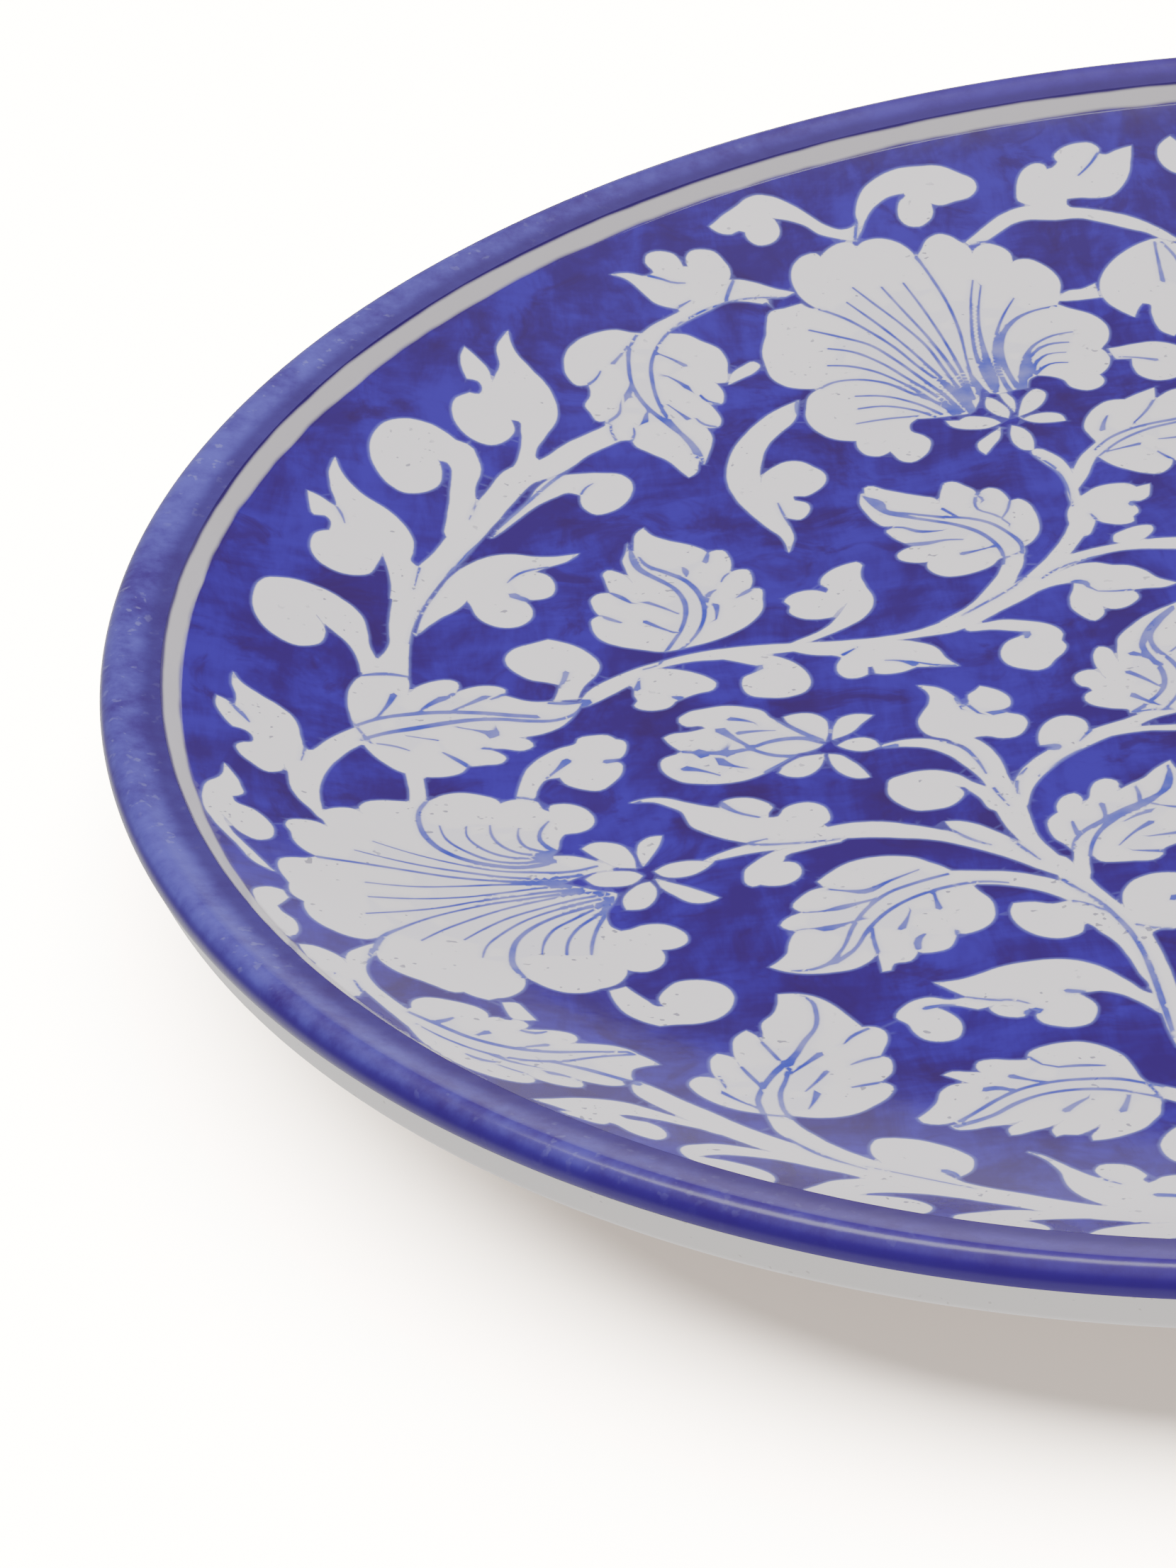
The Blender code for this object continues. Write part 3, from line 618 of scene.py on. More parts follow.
def paint_pod_and_calyx():
    white(
        "-79.3,-3.6! -78,-2.5 -76,-2.1 -73,-2 -70.5,-3 -68.5,-4.5 -67.9,-6 -66.6,-7.6 -65,-10 -63,-12.6! "
        "-65.5,-15.8! -68,-17.8 -70,-19.3 -72.5,-20.3 -75,-20.4 -77.5,-20 -80,-19 -81.8,-17 -82.5,-14.5 "
        "-82.2,-13.3 -80.4,-12.4! -79.7,-11.7! -80.5,-10.5 -81.2,-9.2 -81.6,-8! -80.8,-7.5 -78,-7.3 "
        "-76.2,-6.8! -76.6,-6.2 -78.5,-5.8 -79.4,-4.6"
    )
    brush(
        "-80.2,-11.7,.5 -77.5,-12.5,.7 -74,-13.3,1 -70.8,-12.8,.8 -69,-12,.8 -66.5,-11.6,.9 -64,-12,.9 "
        "-62,-13.3,1"
    )
    brush("-70.5,-13.5,.6 -68,-15.3,.7 -65.5,-15.9,.7 -62.5,-15.2,1")
    brush("-77.4,-12.4,1.5 -77.1,-13.4,1.2")
    brush("-74.2,-13,1.4 -73.7,-13.8,1.2")
    brush("-74.4,-7.6,1.5 -73,-9.8,.8 -70.8,-12.8,.6")
    brush("-73,-5.2,.9 -71.3,-5.9,.6 -70,-6.8,.15")
    brush("-72.1,-8.9,.9 -70,-8.9,.5 -67.5,-9.3,.15")
    brush("-67,-6.8,.7 -65,-9.5,.8 -62,-13,1")
    brush("-79.5,-15.9,1.2 -78,-16.6,.7 -75.3,-18.5,.3")
    brush("-74.8,-15.5,1.4 -73.5,-16.6,.6 -71.8,-17.5,.15")
    brush("-65.2,-15.9,.8 -67.5,-17.6,.8 -69.6,-19,.7")
    white("-68.8,-13! -67,-12.1 -65,-12.3 -63,-13 -61.9,-14! -63,-15 -65,-15.4 -67,-14.8 -68.3,-13.8")
    white(
        "-66.1,-6.3! -64.5,-5.9 -62.5,-6.3 -61,-8 -60.8,-10.5 -61.5,-13.3! -62.8,-12.5 -64.5,-10 "
        "-65.8,-7.5"
    )
    white("-60.5,-13! -60,-10 -58.8,-8 -57,-7.6 -55,-8.3! -56.5,-10 -58,-11.8")
    white("-60,-14.6! -58.5,-13.6 -56.5,-13.5 -55.3,-14.5 -55,-16! -56.5,-16.6 -58.5,-16")
    white("-61.3,-16.5! -60,-17 -58.8,-18.5 -57.5,-21 -56.9,-22.9! -58.5,-22.8 -60,-21.5 -61,-19.5")
    white("-62,-16.3! -62.3,-18 -63.3,-20 -65,-21 -67,-20.5 -67.9,-19.5! -67,-18 -65,-16.5")


def paint_right_trunk():
    stem(
        "-54.2,-16,.7 -51.5,-15.9,1.6 -48.5,-16.7,2 -45.8,-19,2.2 -44,-22,2.2 -42.3,-26,2 -41.2,-30,2.4 "
        "-40.5,-34,3.6 -40,-38,3 -39,-42,2.2 -37.2,-46,2 -35.3,-50,1.5"
    )
    stem("-44.2,-16.2,1.6 -42.6,-19.5,2.6 -41.4,-23,2.2 -40.7,-27,1.6 -40.2,-31,2.4")
    brush("-47.2,-16.2,.4 -44.5,-18.5,.6 -43.3,-21.5,.5 -42.5,-25.2,.25")
    brush("-54.6,-16.4,.5 -52.8,-16.2,.9")
    white(
        "-48.3,-2.3! -46.5,-3 -44.8,-4.8 -44,-6.5 -43.5,-8.2! -42.6,-8 -42.3,-6 -41.3,-5 -40.6,-4.1! "
        "-39.5,-4.8 -38,-6.3 -37.3,-8 -37.6,-9.8 -39,-10.5! -37.8,-11.5 -36.3,-12.5 -35.9,-14.3 -36.5,-16 "
        "-37.8,-17.2 -39.3,-17.3 -41.3,-16.3 -43.3,-16.4! -45,-17.4 -46.2,-16 -48,-15 -49,-13.5 -49.3,-11 "
        "-48.5,-9 -47.5,-7 -47.2,-5"
    )
    brush("-44,-6.4,.6 -43.6,-9.2,.2")
    brush("-42.9,-8,.6 -41.6,-10.6,.4")
    brush("-39.9,-11,1.1 -38.4,-10.9,.8")
    stem(
        "-39.7,-33,2.6 -38.4,-29,2.6 -36.4,-25.6,3 -33.4,-22.6,2.8 -30,-20.2,2.8 -26.5,-18.4,2.6 "
        "-23.4,-17.2,2.2 -20.5,-15.7,1.8 -17.5,-15,1.6"
    )
    stem("-26.5,-19,1.4 -23,-18.7,1.1 -18,-19.3,1.2 -13,-20.7,1.6 -9,-23.4,2 -6.4,-27,2")
    brush("-39.2,-31,.3 -38.9,-27.5,.5 -37.4,-25,.3")
    brush("-36.2,-27.2,.25 -33.2,-24.2,.4 -30,-21.7,.3")
    white(
        "-35,-20! -35,-18.5 -34.3,-16 -33,-14.3 -31.5,-13.6 -30,-14 -28.8,-15.3 -28.6,-16.8 -29.3,-18.8 "
        "-30.5,-20.5 -32.8,-20.9!"
    )
    brush("-35,-20.5,1 -33.2,-20.8,1.6")
    brush("-28.4,-17.8,.6 -30,-20,.2")
    white(
        "-22.8,-14.6! -22.8,-14 -25,-13 -27,-11.8 -27.9,-10.5 -27.6,-9 -26.7,-8.4! -27,-7.4 -27.8,-6.9! "
        "-28.4,-5.8 -28.2,-4 -27.3,-3.3 -25.8,-3.3 -25,-4.6 -24.6,-5.6! -25.2,-3 -25.4,-1 -25,1.3 "
        "-24.3,2.3 -23.3,1.8 -22.6,-.5 -22.4,-1.9! -22,1.5 -21.3,4.3 -19.5,6.5 -17.5,8.5 -15.5,9.8 "
        "-12.4,11.4! -11,8.7 -11.5,6.8! -9.4,5.6 -8.6,2.6 -10,.4! -7.8,-1.4 -7.4,-4.6 -9.2,-6.8! -7.6,-9 "
        "-8.4,-11.8 -11,-13.6 -14.5,-14.6 -18,-15.2"
    )
    brush(
        "-13.4,10.4,.4 -16,7.5,.8 -18,4.3,.7 -18.8,1,.9 -18,-2.5,.8 -17.3,-5.5,.8 -17.8,-9.5,.7 "
        "-20,-12.5,.6 -22.5,-14.5,.5"
    )
    brush("-13.4,9.8,.4 -16,6.5,.7 -17.5,3.5,.8 -17.3,.5,.7 -15.8,-3,.7 -15,-7,.7 -16,-11,.6 -18.5,-14.8,.4")
    brush("-20.4,-.2,1.1 -19,-1.2,.7 -17,-3.8,.3")
    brush("-21.6,-4.7,.9 -20,-6.5,.6 -18.4,-8.8,.3")
    brush("-21.9,-10.4,1 -20.5,-12,.6 -19,-13.5,.3")
    brush("-12,-9.4,.9 -13.4,-10.4,.5 -15.6,-11.2,.25")
    brush("-11.6,-3.8,.9 -13,-4.6,.5 -15,-6.4,.25")
    brush("-12.6,1.8,.9 -14,.6,.5 -16.2,-1.6,.25")
    brush("-22.5,-14.7,.4 -19.5,-14.5,.4 -17.4,-15,.3")


def paint_leaf_by_trunk():
    white(
        "-34.5,-44.7 -35,-43.5 -36,-42 -36.6,-39.5 -36.4,-37.5 -35,-36! -34.8,-34 -33.8,-32.5 -32.5,-32.1 "
        "-31.8,-33 -31.9,-34.8! -30.8,-33.5 -30.3,-31.5 -29.5,-30 -28.3,-29.5 -27,-30.3 -27.2,-32.6! "
        "-25.5,-31.5 -23.5,-30.3 -21.8,-28.5 -19.8,-27! -19,-29.6 -18.2,-30.4! -16.2,-31.8 -15.2,-34.4 "
        "-16,-36.6! -14.6,-38.6 -14.8,-41 -17,-43! -17.4,-44.4 -19.6,-45 -22.3,-45.8 -23.8,-46.8 "
        "-24,-47.8 -25.3,-48.7 -27.5,-48.5 -29.5,-48.3 -31.5,-47.8 -32.5,-46"
    )
    brush(
        "-20.2,-28,.4 -21,-33,.8 -24,-35.5,.9 -27,-37,1 -30,-39,.9 -32.5,-40.8,.7 -33.8,-42.5,.6 "
        "-34.4,-44.6,.5"
    )
    brush("-20.6,-30,.3 -22.6,-34.8,.6 -28,-38.5,.8 -30.5,-41,.7 -31.8,-43.5,.6 -32.6,-46.4,.5")
    brush("-29.5,-35.2,.8 -29.4,-37,.6 -29.6,-38.8,.4")
    brush("-25,-31.3,.3 -24.7,-33.3,.5 -24.8,-35.2,.6")
    brush("-33.6,-38.4,.4 -33.5,-40,.6 -33.3,-41.5,.8")
    brush("-24,-37.9,.8 -25.8,-38.6,.4 -27.4,-39.6,.15")
    brush("-24.2,-40.4,.9 -26.3,-42,.5 -28.8,-44.8,.15")
    brush("-21.4,-43.4,.7 -25,-43.5,.15")
    brush("-23.8,-47.1,.7 -25.5,-46.7,.5 -27.4,-46.2,.15")
    brush("-18.6,-38,.8 -20.8,-37.6,.5 -22.6,-36.8,.2")
    stem("-33.2,-44.6,2 -33.7,-47,1.8 -34,-50,1.9")


def paint_leaf_bud_and_stem():
    white(
        "-86.8,-22.5! -85,-22 -82.5,-22.4 -80,-24 -77.5,-25.5 -75.9,-26.2! -75.5,-24.8 -74.5,-24.4 "
        "-72.5,-24.5 -70.5,-25.8 -69.5,-27.5 -70.1,-28.5 -70.2,-29.6! -69,-29.6 -68.3,-28.3 -66.8,-27.3 "
        "-65,-27.2 -63.3,-28.5 -62.7,-30.5 -62.8,-31.8 -63.7,-32.6! -63.2,-33.5 -61,-35 -67,-36 "
        "-73,-34.9! -75.5,-33.5 -78,-31.5 -79.8,-29.5 -80.2,-27.8 -80.7,-26 -82.2,-24.4 -84,-23"
    )
    brush("-75.8,-25.2,1.1 -74,-27.5,.6 -71.3,-29.3,.35")
    brush("-73.2,-34.9,.6 -70.8,-34.4,.2")
    brush("-72.8,-35.4,.5 -68,-36.1,.5 -62,-36.4,.3")
    stem(
        "-70,-35.8,1 -66,-35.2,1.8 -62,-34.7,3 -58,-35,3.4 -54,-36.3,3 -50,-38,2.2 -47,-39.8,2.2 "
        "-44,-41.8,2.4 -41,-44.2,2.6 -38.4,-46.9,2.4 -36,-49.6,1.6"
    )
    stem("-78.5,-37.8,.5 -76,-36.9,1.4 -73,-36.3,1.8 -70,-36.4,1.4 -66,-36.6,.8")
    white(
        "-48.8,-35.2! -47,-35.5 -45,-36.8 -43,-38.8 -41,-41.2 -39.4,-44.5 -41,-45 -43.5,-42 -46,-39.7 "
        "-47.6,-38 -48.4,-36.6"
    )
    brush("-48.2,-37.3,.4 -46.5,-39.5,.5 -44,-41.6,.3")
    brush("-41.5,-40.6,.3 -40.3,-43,.5 -38.6,-46,.2")
    white(
        "-74.3,-42.5 -74,-40.8 -72.8,-39.5 -71.5,-38.3 -70,-37.6 -69,-38.6 -69.4,-40! -68,-40.5 "
        "-67.3,-42.3 -67.8,-43.8 -69.5,-45 -71.5,-44.9 -72.5,-44.4! -73.5,-44.6 -74.3,-43.5"
    )
    stem("-70.8,-39.3,2.4 -69.3,-38,1.5 -66.5,-37.3,1 -62,-36.7,.6")
    white(
        "-54.8,-25.5 -54.5,-24.3 -52.5,-23.3 -50,-22.9 -47.8,-23.5 -46,-24.8 -44.5,-26.8 -42.5,-28.8 "
        "-41,-31 -40.4,-34 -42.6,-33.8 -44,-30.5 -45.5,-27.8! -46.6,-27.3! -45.8,-29 -46.5,-30.5 "
        "-48,-31.8 -50,-32.1 -52,-31.8 -53.8,-30 -54.8,-28"
    )
    brush("-42,-28.8,.5 -41.4,-31,.4 -40.7,-33.2,.15")


def paint_calyx_b():
    white("-93.5,-32.5! -92.5,-31.5 -90.5,-31.4 -88.8,-32.3 -87.5,-35 -87.3,-37.8! -89.5,-37.3 -91.5,-35.3")
    white("-86.8,-34 -86.3,-32 -85,-31 -83.6,-31! -84.3,-33.5 -85.5,-36 -86.3,-37.5!")
    white("-85,-39! -83.5,-37.8 -81,-37.4 -77.8,-38.3! -79.5,-40 -82,-40.8 -84,-40.3")
    white("-85,-40.8! -83.5,-41.8 -81,-43.5 -77.8,-46.3! -79,-47 -81,-46.8 -82.8,-45 -84.3,-43")
    white("-85.8,-41.3! -85.2,-43 -85.5,-45.5 -86.8,-47.3 -89,-47.4! -89.3,-45.5 -88.3,-43 -86.8,-41.6")
    white("-93.5,-39.8! -92,-38.5 -89.5,-38.3 -87.5,-38.8 -86.6,-39.8! -88,-41.5 -90.5,-41.8 -92.5,-41.3")


def paint_big_flower_b():
    white(
        "-125.7,-37! -127.5,-35.2 -128.5,-33.2 -128.8,-31.3 -129.4,-29.7 -129,-28.5 -127.5,-27.9 "
        "-125.8,-28 -124.4,-28.9! -125,-27.2 -125.6,-26! -124.5,-24.6 -122.3,-23.6 -120.9,-23.8 "
        "-120.1,-24.7! -120.5,-23 -119.7,-21.7 -117.5,-20.9 -115,-20.9 -113,-21 -111.5,-20.1 -110,-18.8 "
        "-107.5,-18.3 -105,-19 -103.7,-19.8 -103.1,-20.9! -101.7,-20.1 -99.7,-20 -98.4,-20.9 -98,-22.4 "
        "-97.1,-23.2! -96.9,-21.8 -95.2,-21.5 -93.2,-22.5 -91.9,-24.5 -91.7,-26.3 -92.5,-27.8 -94,-28.6 "
        "-95.5,-28.8 -96.2,-30.2 -96.5,-32.2 -97.4,-34! -94.8,-34.2 -92.5,-35.3 -90.8,-36.5! -90,-37.4 "
        "-92.5,-38.2 -95,-39.6! -96.5,-40.8! -94,-41.8 -92,-42.8 -90,-43.6 -90.2,-44.9 -91.5,-48 "
        "-91.5,-50 -91.2,-51.3 -90,-52.5! -88.8,-52.2 -87.5,-51.4 -85.5,-51.2 -83.5,-52.3 -82.3,-54.2 "
        "-82.4,-55.8 -83.7,-56.9 -85.5,-57.2! -85.2,-59 -86,-61.2 -87.5,-62.2 -89,-62.1 -89.8,-61.7! "
        "-90,-63 -91,-65 -92.5,-66.1 -93.2,-66.4! -95,-67.4 -97,-67.5 -98.7,-66.8 -100.6,-65.2 "
        "-102,-63.6! -102,-66.5 -103,-68.5 -104.5,-69.7 -105.2,-69.9! -106.2,-70.6! -108,-69.8 -109,-69! "
        "-110,-69.3 -112,-68.2 -113.5,-67.2! -115,-66.3 -117,-64.8 -118.2,-63.2 -118.8,-61.5 -119,-59 "
        "-118.3,-56.2! -120,-57.4 -122,-57.2 -124,-56 -126,-54 -127,-51.5 -127.2,-49.4! -128.5,-48 "
        "-128.9,-45! -129.7,-43 -130.3,-40.5 -130,-39 -128.7,-38.2 -127,-37.8"
    )
    brush(
        "-112.2,-20.5,.5 -113.2,-23,.6 -113.3,-26,.7 -112.7,-29,.8 -111.2,-32,.8 -108.5,-34.5,.8 "
        "-105,-36,.8 -102,-36.6,.8 -99,-36.2,.8 -97,-35.3,.8"
    )
    brush("-110.8,-26.5,.2 -110,-30,.35 -107.5,-33,.45 -104.5,-35,.5 -101.5,-35.5,.55 -97.5,-34.7,.8")
    brush("-107.5,-26.5,.2 -107.5,-29,.3 -106.2,-31.5,.45 -103.5,-33.7,.5 -100.5,-34.4,.5 -97.5,-34,.8")
    brush("-104.6,-26.2,.2 -104.4,-29,.4 -103.2,-31.5,.5 -101,-33.2,.5 -98,-33.5,.8")
    brush("-101.1,-27,.2 -101.2,-29.5,.4 -100.5,-31.5,.5 -98.5,-32.8,.6 -96.8,-33.4,.8")
    brush("-97.3,-25.5,.25 -98.5,-28,.5 -98.6,-30,.6 -97.7,-31.8,.7 -96.5,-33.2,.9")
    brush("-119,-31.5,.12 -114,-34,.25 -109,-36,.35 -104,-37.5,.4 -100,-37.8,.5 -95,-37.8,.6 -92,-36.8,.5")
    brush(
        "-121.2,-34.2,.15 -117.5,-35.5,.3 -112.5,-37,.4 -107.5,-38.1,.5 -102.5,-39.1,.5 -97.5,-39.3,.6 "
        "-94,-38.8,.7"
    )
    brush(
        "-125.7,-37.1,.6 -120,-37.5,.5 -115,-38.3,.5 -110,-39.3,.5 -105,-39.9,.5 -100,-40.1,.5 "
        "-96,-40.2,.9"
    )
    brush("-120,-42.3,.2 -114,-42.3,.35 -109,-41.6,.4 -104,-40.9,.5 -99,-40.7,.6 -96,-40.9,.9")
    brush("-119.7,-46,.3 -114,-45.4,.35 -108,-44.2,.4 -103,-42.7,.45 -98.5,-41.6,.5 -95.5,-41.4,.7")
    brush("-120,-50.5,.25 -116,-49.1,.35 -111,-47.2,.4 -107,-45.3,.4 -102,-43.7,.4 -97,-42.4,.5 -94,-42,.6")
    brush(
        "-119,-60,.7 -118.7,-58,.8 -118,-56,.7 -116,-53.5,.5 -113,-50.5,.4 -109,-47.7,.4 -105,-45.7,.45 "
        "-100.5,-44.2,.5 -97,-43.2,.5 -94,-42.5,.6"
    )
    brush(
        "-113.6,-56.2,.3 -111,-53,.35 -108,-50.2,.4 -104,-47.2,.4 -99.5,-44.9,.45 -95.5,-43.5,.5 "
        "-91.5,-42.9,.6"
    )
    brush("-108.6,-55.2,.25 -106.5,-52.5,.35 -103,-49,.4 -99.5,-46.8,.4 -95,-44.6,.45 -91,-43.6,.6")
    brush("-106.6,-59.5,.2 -106,-56.5,.35 -104,-53,.4 -101,-49.5,.4 -97,-46.8,.45 -93,-45,.5 -90.5,-44.3,.5")
    brush(
        "-102,-64,.7 -103.1,-61,.8 -103.1,-58,.8 -102.5,-55,.7 -100.5,-51.5,.6 -97.5,-48.7,.6 "
        "-94,-46.7,.6 -90.6,-45,.6"
    )
    brush("-99.6,-58,.25 -99.2,-55,.4 -98,-52,.45 -95.5,-49.4,.5 -92.5,-46.8,.5 -90.5,-45.4,.5")
    brush("-96.7,-58,.4 -96.4,-55,.45 -95,-51.5,.5 -92.5,-48.4,.55 -91,-46.3,.6")
    brush("-93.8,-58,.35 -93.5,-55,.5 -92.7,-51.5,.55 -91.8,-49,.6 -90.9,-46.8,.6")
    white("-104.6,-71.1! -103.2,-70.9 -102,-73 -101,-75.2! -103.5,-75.2 -104.2,-73.3")


def paint_low_left_leaf():
    white(
        "-115,-75! -114.8,-73 -113.5,-71.7 -111.5,-71.6 -109.5,-72.1 -107.5,-73 -106.5,-74.4 "
        "-106.4,-75.5! -105.2,-75.2 -104.5,-75.7 -102.5,-75.7 -101.9,-76.7 -102.8,-78.2! -100.5,-77.8 "
        "-98.5,-77.9 -96.8,-78.8 -96.6,-79.8 -97.5,-81.2! -95.5,-81 -92.5,-81.2 -90.5,-82.2 -89.7,-83.2! "
        "-88.5,-84.4 -87.6,-85.7! -89.5,-86.5 -91.2,-87.8 -91.8,-89.5 -92,-91.2! -93.4,-91.8 -93.4,-93.1 "
        "-95,-93.8 -97,-93.4 -98.8,-92.3! -98.4,-94 -98.8,-95.1 -100,-95.3 -101.5,-94.8 -103,-93.6 "
        "-104,-91.9! -103.6,-93.4 -103.9,-94.7 -105.2,-95.2 -107.4,-94.2 -109.3,-92.4 -110.8,-90.3 "
        "-112.4,-87.4 -113.6,-85 -114.7,-82.4 -115.5,-80 -116.2,-77"
    )
    stem(
        "-118.9,-58.6,.6 -119.9,-60.5,2 -120.9,-62.5,2.6 -121.2,-65,2.2 -120.8,-68,2 -119.5,-71.2,1.9 "
        "-117.6,-74.4,2.1 -115.8,-77.6,2.2 -114.8,-80,1.6"
    )
    brush("-119.3,-60,.7 -119.8,-63.5,.4 -119.4,-67.5,.3 -118.4,-70,.3")
    brush("-115.5,-76.2,.5 -112,-79,.7 -108,-82,.8 -104,-83.7,.8 -100,-84,.7 -96,-83.3,.5 -91,-82.6,.5")
    brush("-114.5,-79.5,.2 -111,-83,.4 -107,-86,.5 -103,-87.2,.6 -99,-86.6,.6 -95.5,-84.9,.5 -90.3,-83.2,.5")
    brush("-100.6,-87.1,.4 -97,-88.8,.8 -94,-90.8,.8 -91.5,-92.6,.9")
    brush("-112,-78,.9 -111,-77.2,.7 -110.4,-76.5,.4")
    brush("-107.5,-80.4,.5 -106.6,-79.6,1")
    brush("-103.2,-83.2,.3 -101.8,-82.6,.5 -100.3,-82,.8")
    brush("-103,-78.2,.4 -101.3,-78.8,.7 -100,-78.2,.3")
    brush("-109.5,-86.8,.3 -108,-88.3,.7 -107,-88.6,.5")
    brush("-107,-86.2,.4 -105,-88,.5 -102.5,-89.2,.25")
    brush("-101,-91,.8 -99.5,-91.8,.4 -98.6,-93,.2")
    brush("-106.5,-89.5,.25 -105,-91,.35 -104,-91.8,.3")
    white(
        "-127.7,-61.6! -126.2,-61.4 -124.2,-62.3 -122.9,-63.5 -122.3,-64.7! -121.2,-66 -120.3,-69 "
        "-120.5,-71.5 -120.7,-73! -121.1,-74 -122,-74.1 -123.5,-73.4 -124.6,-72.9! -124.9,-70.5 "
        "-125.5,-68.8! -126.1,-67.4 -125.6,-66.2! -126.4,-65.4 -127,-63.8"
    )
    brush("-125.5,-68.9,.4 -124.4,-68.9,.5 -123.6,-68.2,.3")
    brush("-121.4,-69.5,.3 -120.5,-72.5,.4")
    white(
        "-132.8,-48 -131,-47 -129.7,-47.3! -129,-49.1! -129.8,-50.8 -130.3,-51.8! -129.7,-53.3 "
        "-128.5,-54.7 -127.9,-56.5 -127.9,-58.2 -128.6,-59.6 -129.6,-59.4! -130.6,-57.3 -131.8,-54.5 "
        "-132.7,-51.5"
    )
    white(
        "-92.1,-67! -90.2,-65.9! -89.2,-67.6 -88,-69.3 -86.8,-70.8 -86,-70.8! -86.5,-69.3 -86.2,-68 "
        "-85.3,-66.3 -84.4,-65.2 -82.5,-64.7 -80.3,-65.1 -78.7,-66.3 -77.9,-68 -77.9,-70 -78.6,-72 "
        "-80,-73.8 -82.5,-75 -85,-75.2 -86.8,-75.6! -88.5,-74.6 -90.5,-72.5 -91.4,-70.5 -91.8,-68.7"
    )


def paint_standing_leaf():
    white(
        "-72.6,-69! -70,-69.3 -68,-70.5 -66.5,-72.3 -65,-75 -63.7,-77.6! -62.2,-77.8 -61.2,-78.8 "
        "-61,-80.3 -61.7,-82.8 -62.4,-84.5! -61.4,-84.9 -61.1,-86.3 -61.5,-88.5 -62.9,-90.4! -61.6,-91.6 "
        "-62.2,-93.8 -64,-96 -66,-97.8 -68,-98.8 -71,-99 -74,-98.9 -77.5,-98.9 -80,-98.4 -82.5,-96.8 "
        "-84.4,-94 -84.9,-91.5 -84.4,-90 -83,-88.6 -81.5,-89 -80.5,-90.5! -81.4,-88.2 -81.7,-86 -81.5,-84 "
        "-80.7,-82.7! -79.2,-83.5 -78.4,-85.6! -78.8,-83 -78.8,-81 -78.5,-79 -77,-77.1! -76,-78.3 "
        "-75.4,-80! -75.1,-78 -75,-75.5 -73.6,-73.5 -72.8,-71"
    )
    brush(
        "-70,-69.5,.3 -68.9,-71,.5 -68.6,-73.5,.6 -69,-77,.6 -70.5,-80,.7 -72,-83.5,.9 -74,-86.5,.9 "
        "-75.5,-89.5,.8 -76.8,-93.5,.7 -77.3,-99.5,.7"
    )
    brush("-72,-84,.5 -72.8,-86.5,.6 -73.5,-89.5,.6 -74.3,-92.5,.6 -74.4,-96,.6 -74,-100,.6")
    brush("-75.4,-80,.4 -74.5,-82.5,.5 -73.5,-85.3,.5")
    brush("-78.2,-86,.4 -77.3,-88.5,.6 -76.1,-91.5,.4")
    brush("-81,-93,.6 -80,-94.5,.5 -78,-96.8,.2")
    brush("-80.9,-88.4,.3 -80.4,-91,.4")
    brush("-66,-81,.2 -65,-79.5,.5 -63,-78,.5")
    brush("-69,-83.2,1 -70.5,-85,.6 -72.5,-87.5,.3")
    brush("-68.7,-87.5,.7 -69.8,-89.5,.5 -71.5,-92.3,.15")
    brush("-70.2,-92.8,.9 -70.6,-94.3,.6 -71.5,-96.8,.15")
    brush("-65.7,-86,.3 -64,-85,.6 -62.3,-84.5,.5")
    brush("-66.2,-91.5,.3 -64.5,-91,.6 -62.6,-90.5,.5")


def paint_leaf_of_trunk_left():
    white(
        "-65.6,-45.3! -64,-43.7 -62,-42.2 -59,-41.4 -56,-41.6 -53.5,-42.5 -52,-43.8 -50.8,-44.8 "
        "-49.5,-46.3 -47.5,-49.5 -46.7,-51.5 -45.7,-53.3 -45.4,-55.3 -45.7,-57.5 -46.8,-59 -48,-59.7 "
        "-50,-59.9 -50.5,-59.3! -50.9,-61.3 -51.8,-62.7 -53.3,-63.1 -54.9,-63! -55.5,-62.6! -56.5,-64.4 "
        "-58.5,-64.6 -59,-65.9! -60,-66! -60,-64.3 -60.1,-61.6! -61,-63.2 -63,-64.6 -65.5,-65 -68,-64.9 "
        "-70,-64.5 -72,-63.5 -73,-62.7! -71.6,-61.3 -70.7,-60 -70.4,-58.5 -69.8,-56.5 -69,-55.3! -70,-55 "
        "-70.9,-53.8 -70,-52.5 -68,-51.6! -69.1,-50.2 -68,-48.3 -66,-46.9 -65,-46.7!"
    )
    brush("-65.5,-62.5,.6 -64,-60,.5 -62.5,-56,.6 -60.5,-52.5,.6 -57.5,-49.5,.6 -54,-48,.6 -50,-46.9,.5")
    brush(
        "-65.3,-63,.8 -63,-61,.6 -60.5,-56.5,.6 -57.5,-53,.6 -54,-50.8,.6 -50,-49.6,.6 -46,-49.4,.5 "
        "-43,-50.3,.25"
    )
    brush("-70.5,-64,.3 -68,-64,.5 -65.4,-62.7,.7")
    brush("-65,-47,.3 -62.5,-48,.4 -60.3,-48.6,1 -57,-46.9,.5 -53.3,-45.2,.25")
    brush("-68,-51.6,.3 -65.5,-51.8,.4 -64,-51.6,.9 -60.5,-50.8,.5 -58.5,-50.3,.3")
    brush("-69.2,-55.2,.3 -67,-55.3,.3 -65.9,-55.6,1.1 -63,-55,.5 -61.2,-54.5,.3")
    brush("-60.1,-62,.6 -60.3,-59,.5 -60.2,-56.5,.4")
    brush("-55.3,-53.8,.2 -56,-55.8,.5 -56.7,-57.3,1")
    brush("-52.1,-50.3,.4 -52,-52.5,.5 -51.9,-54,.9")
    brush("-55.3,-62,.8 -55,-60,.9 -54.2,-59.2,.4")
    brush("-50.4,-60,.6 -50.4,-59.2,.6")


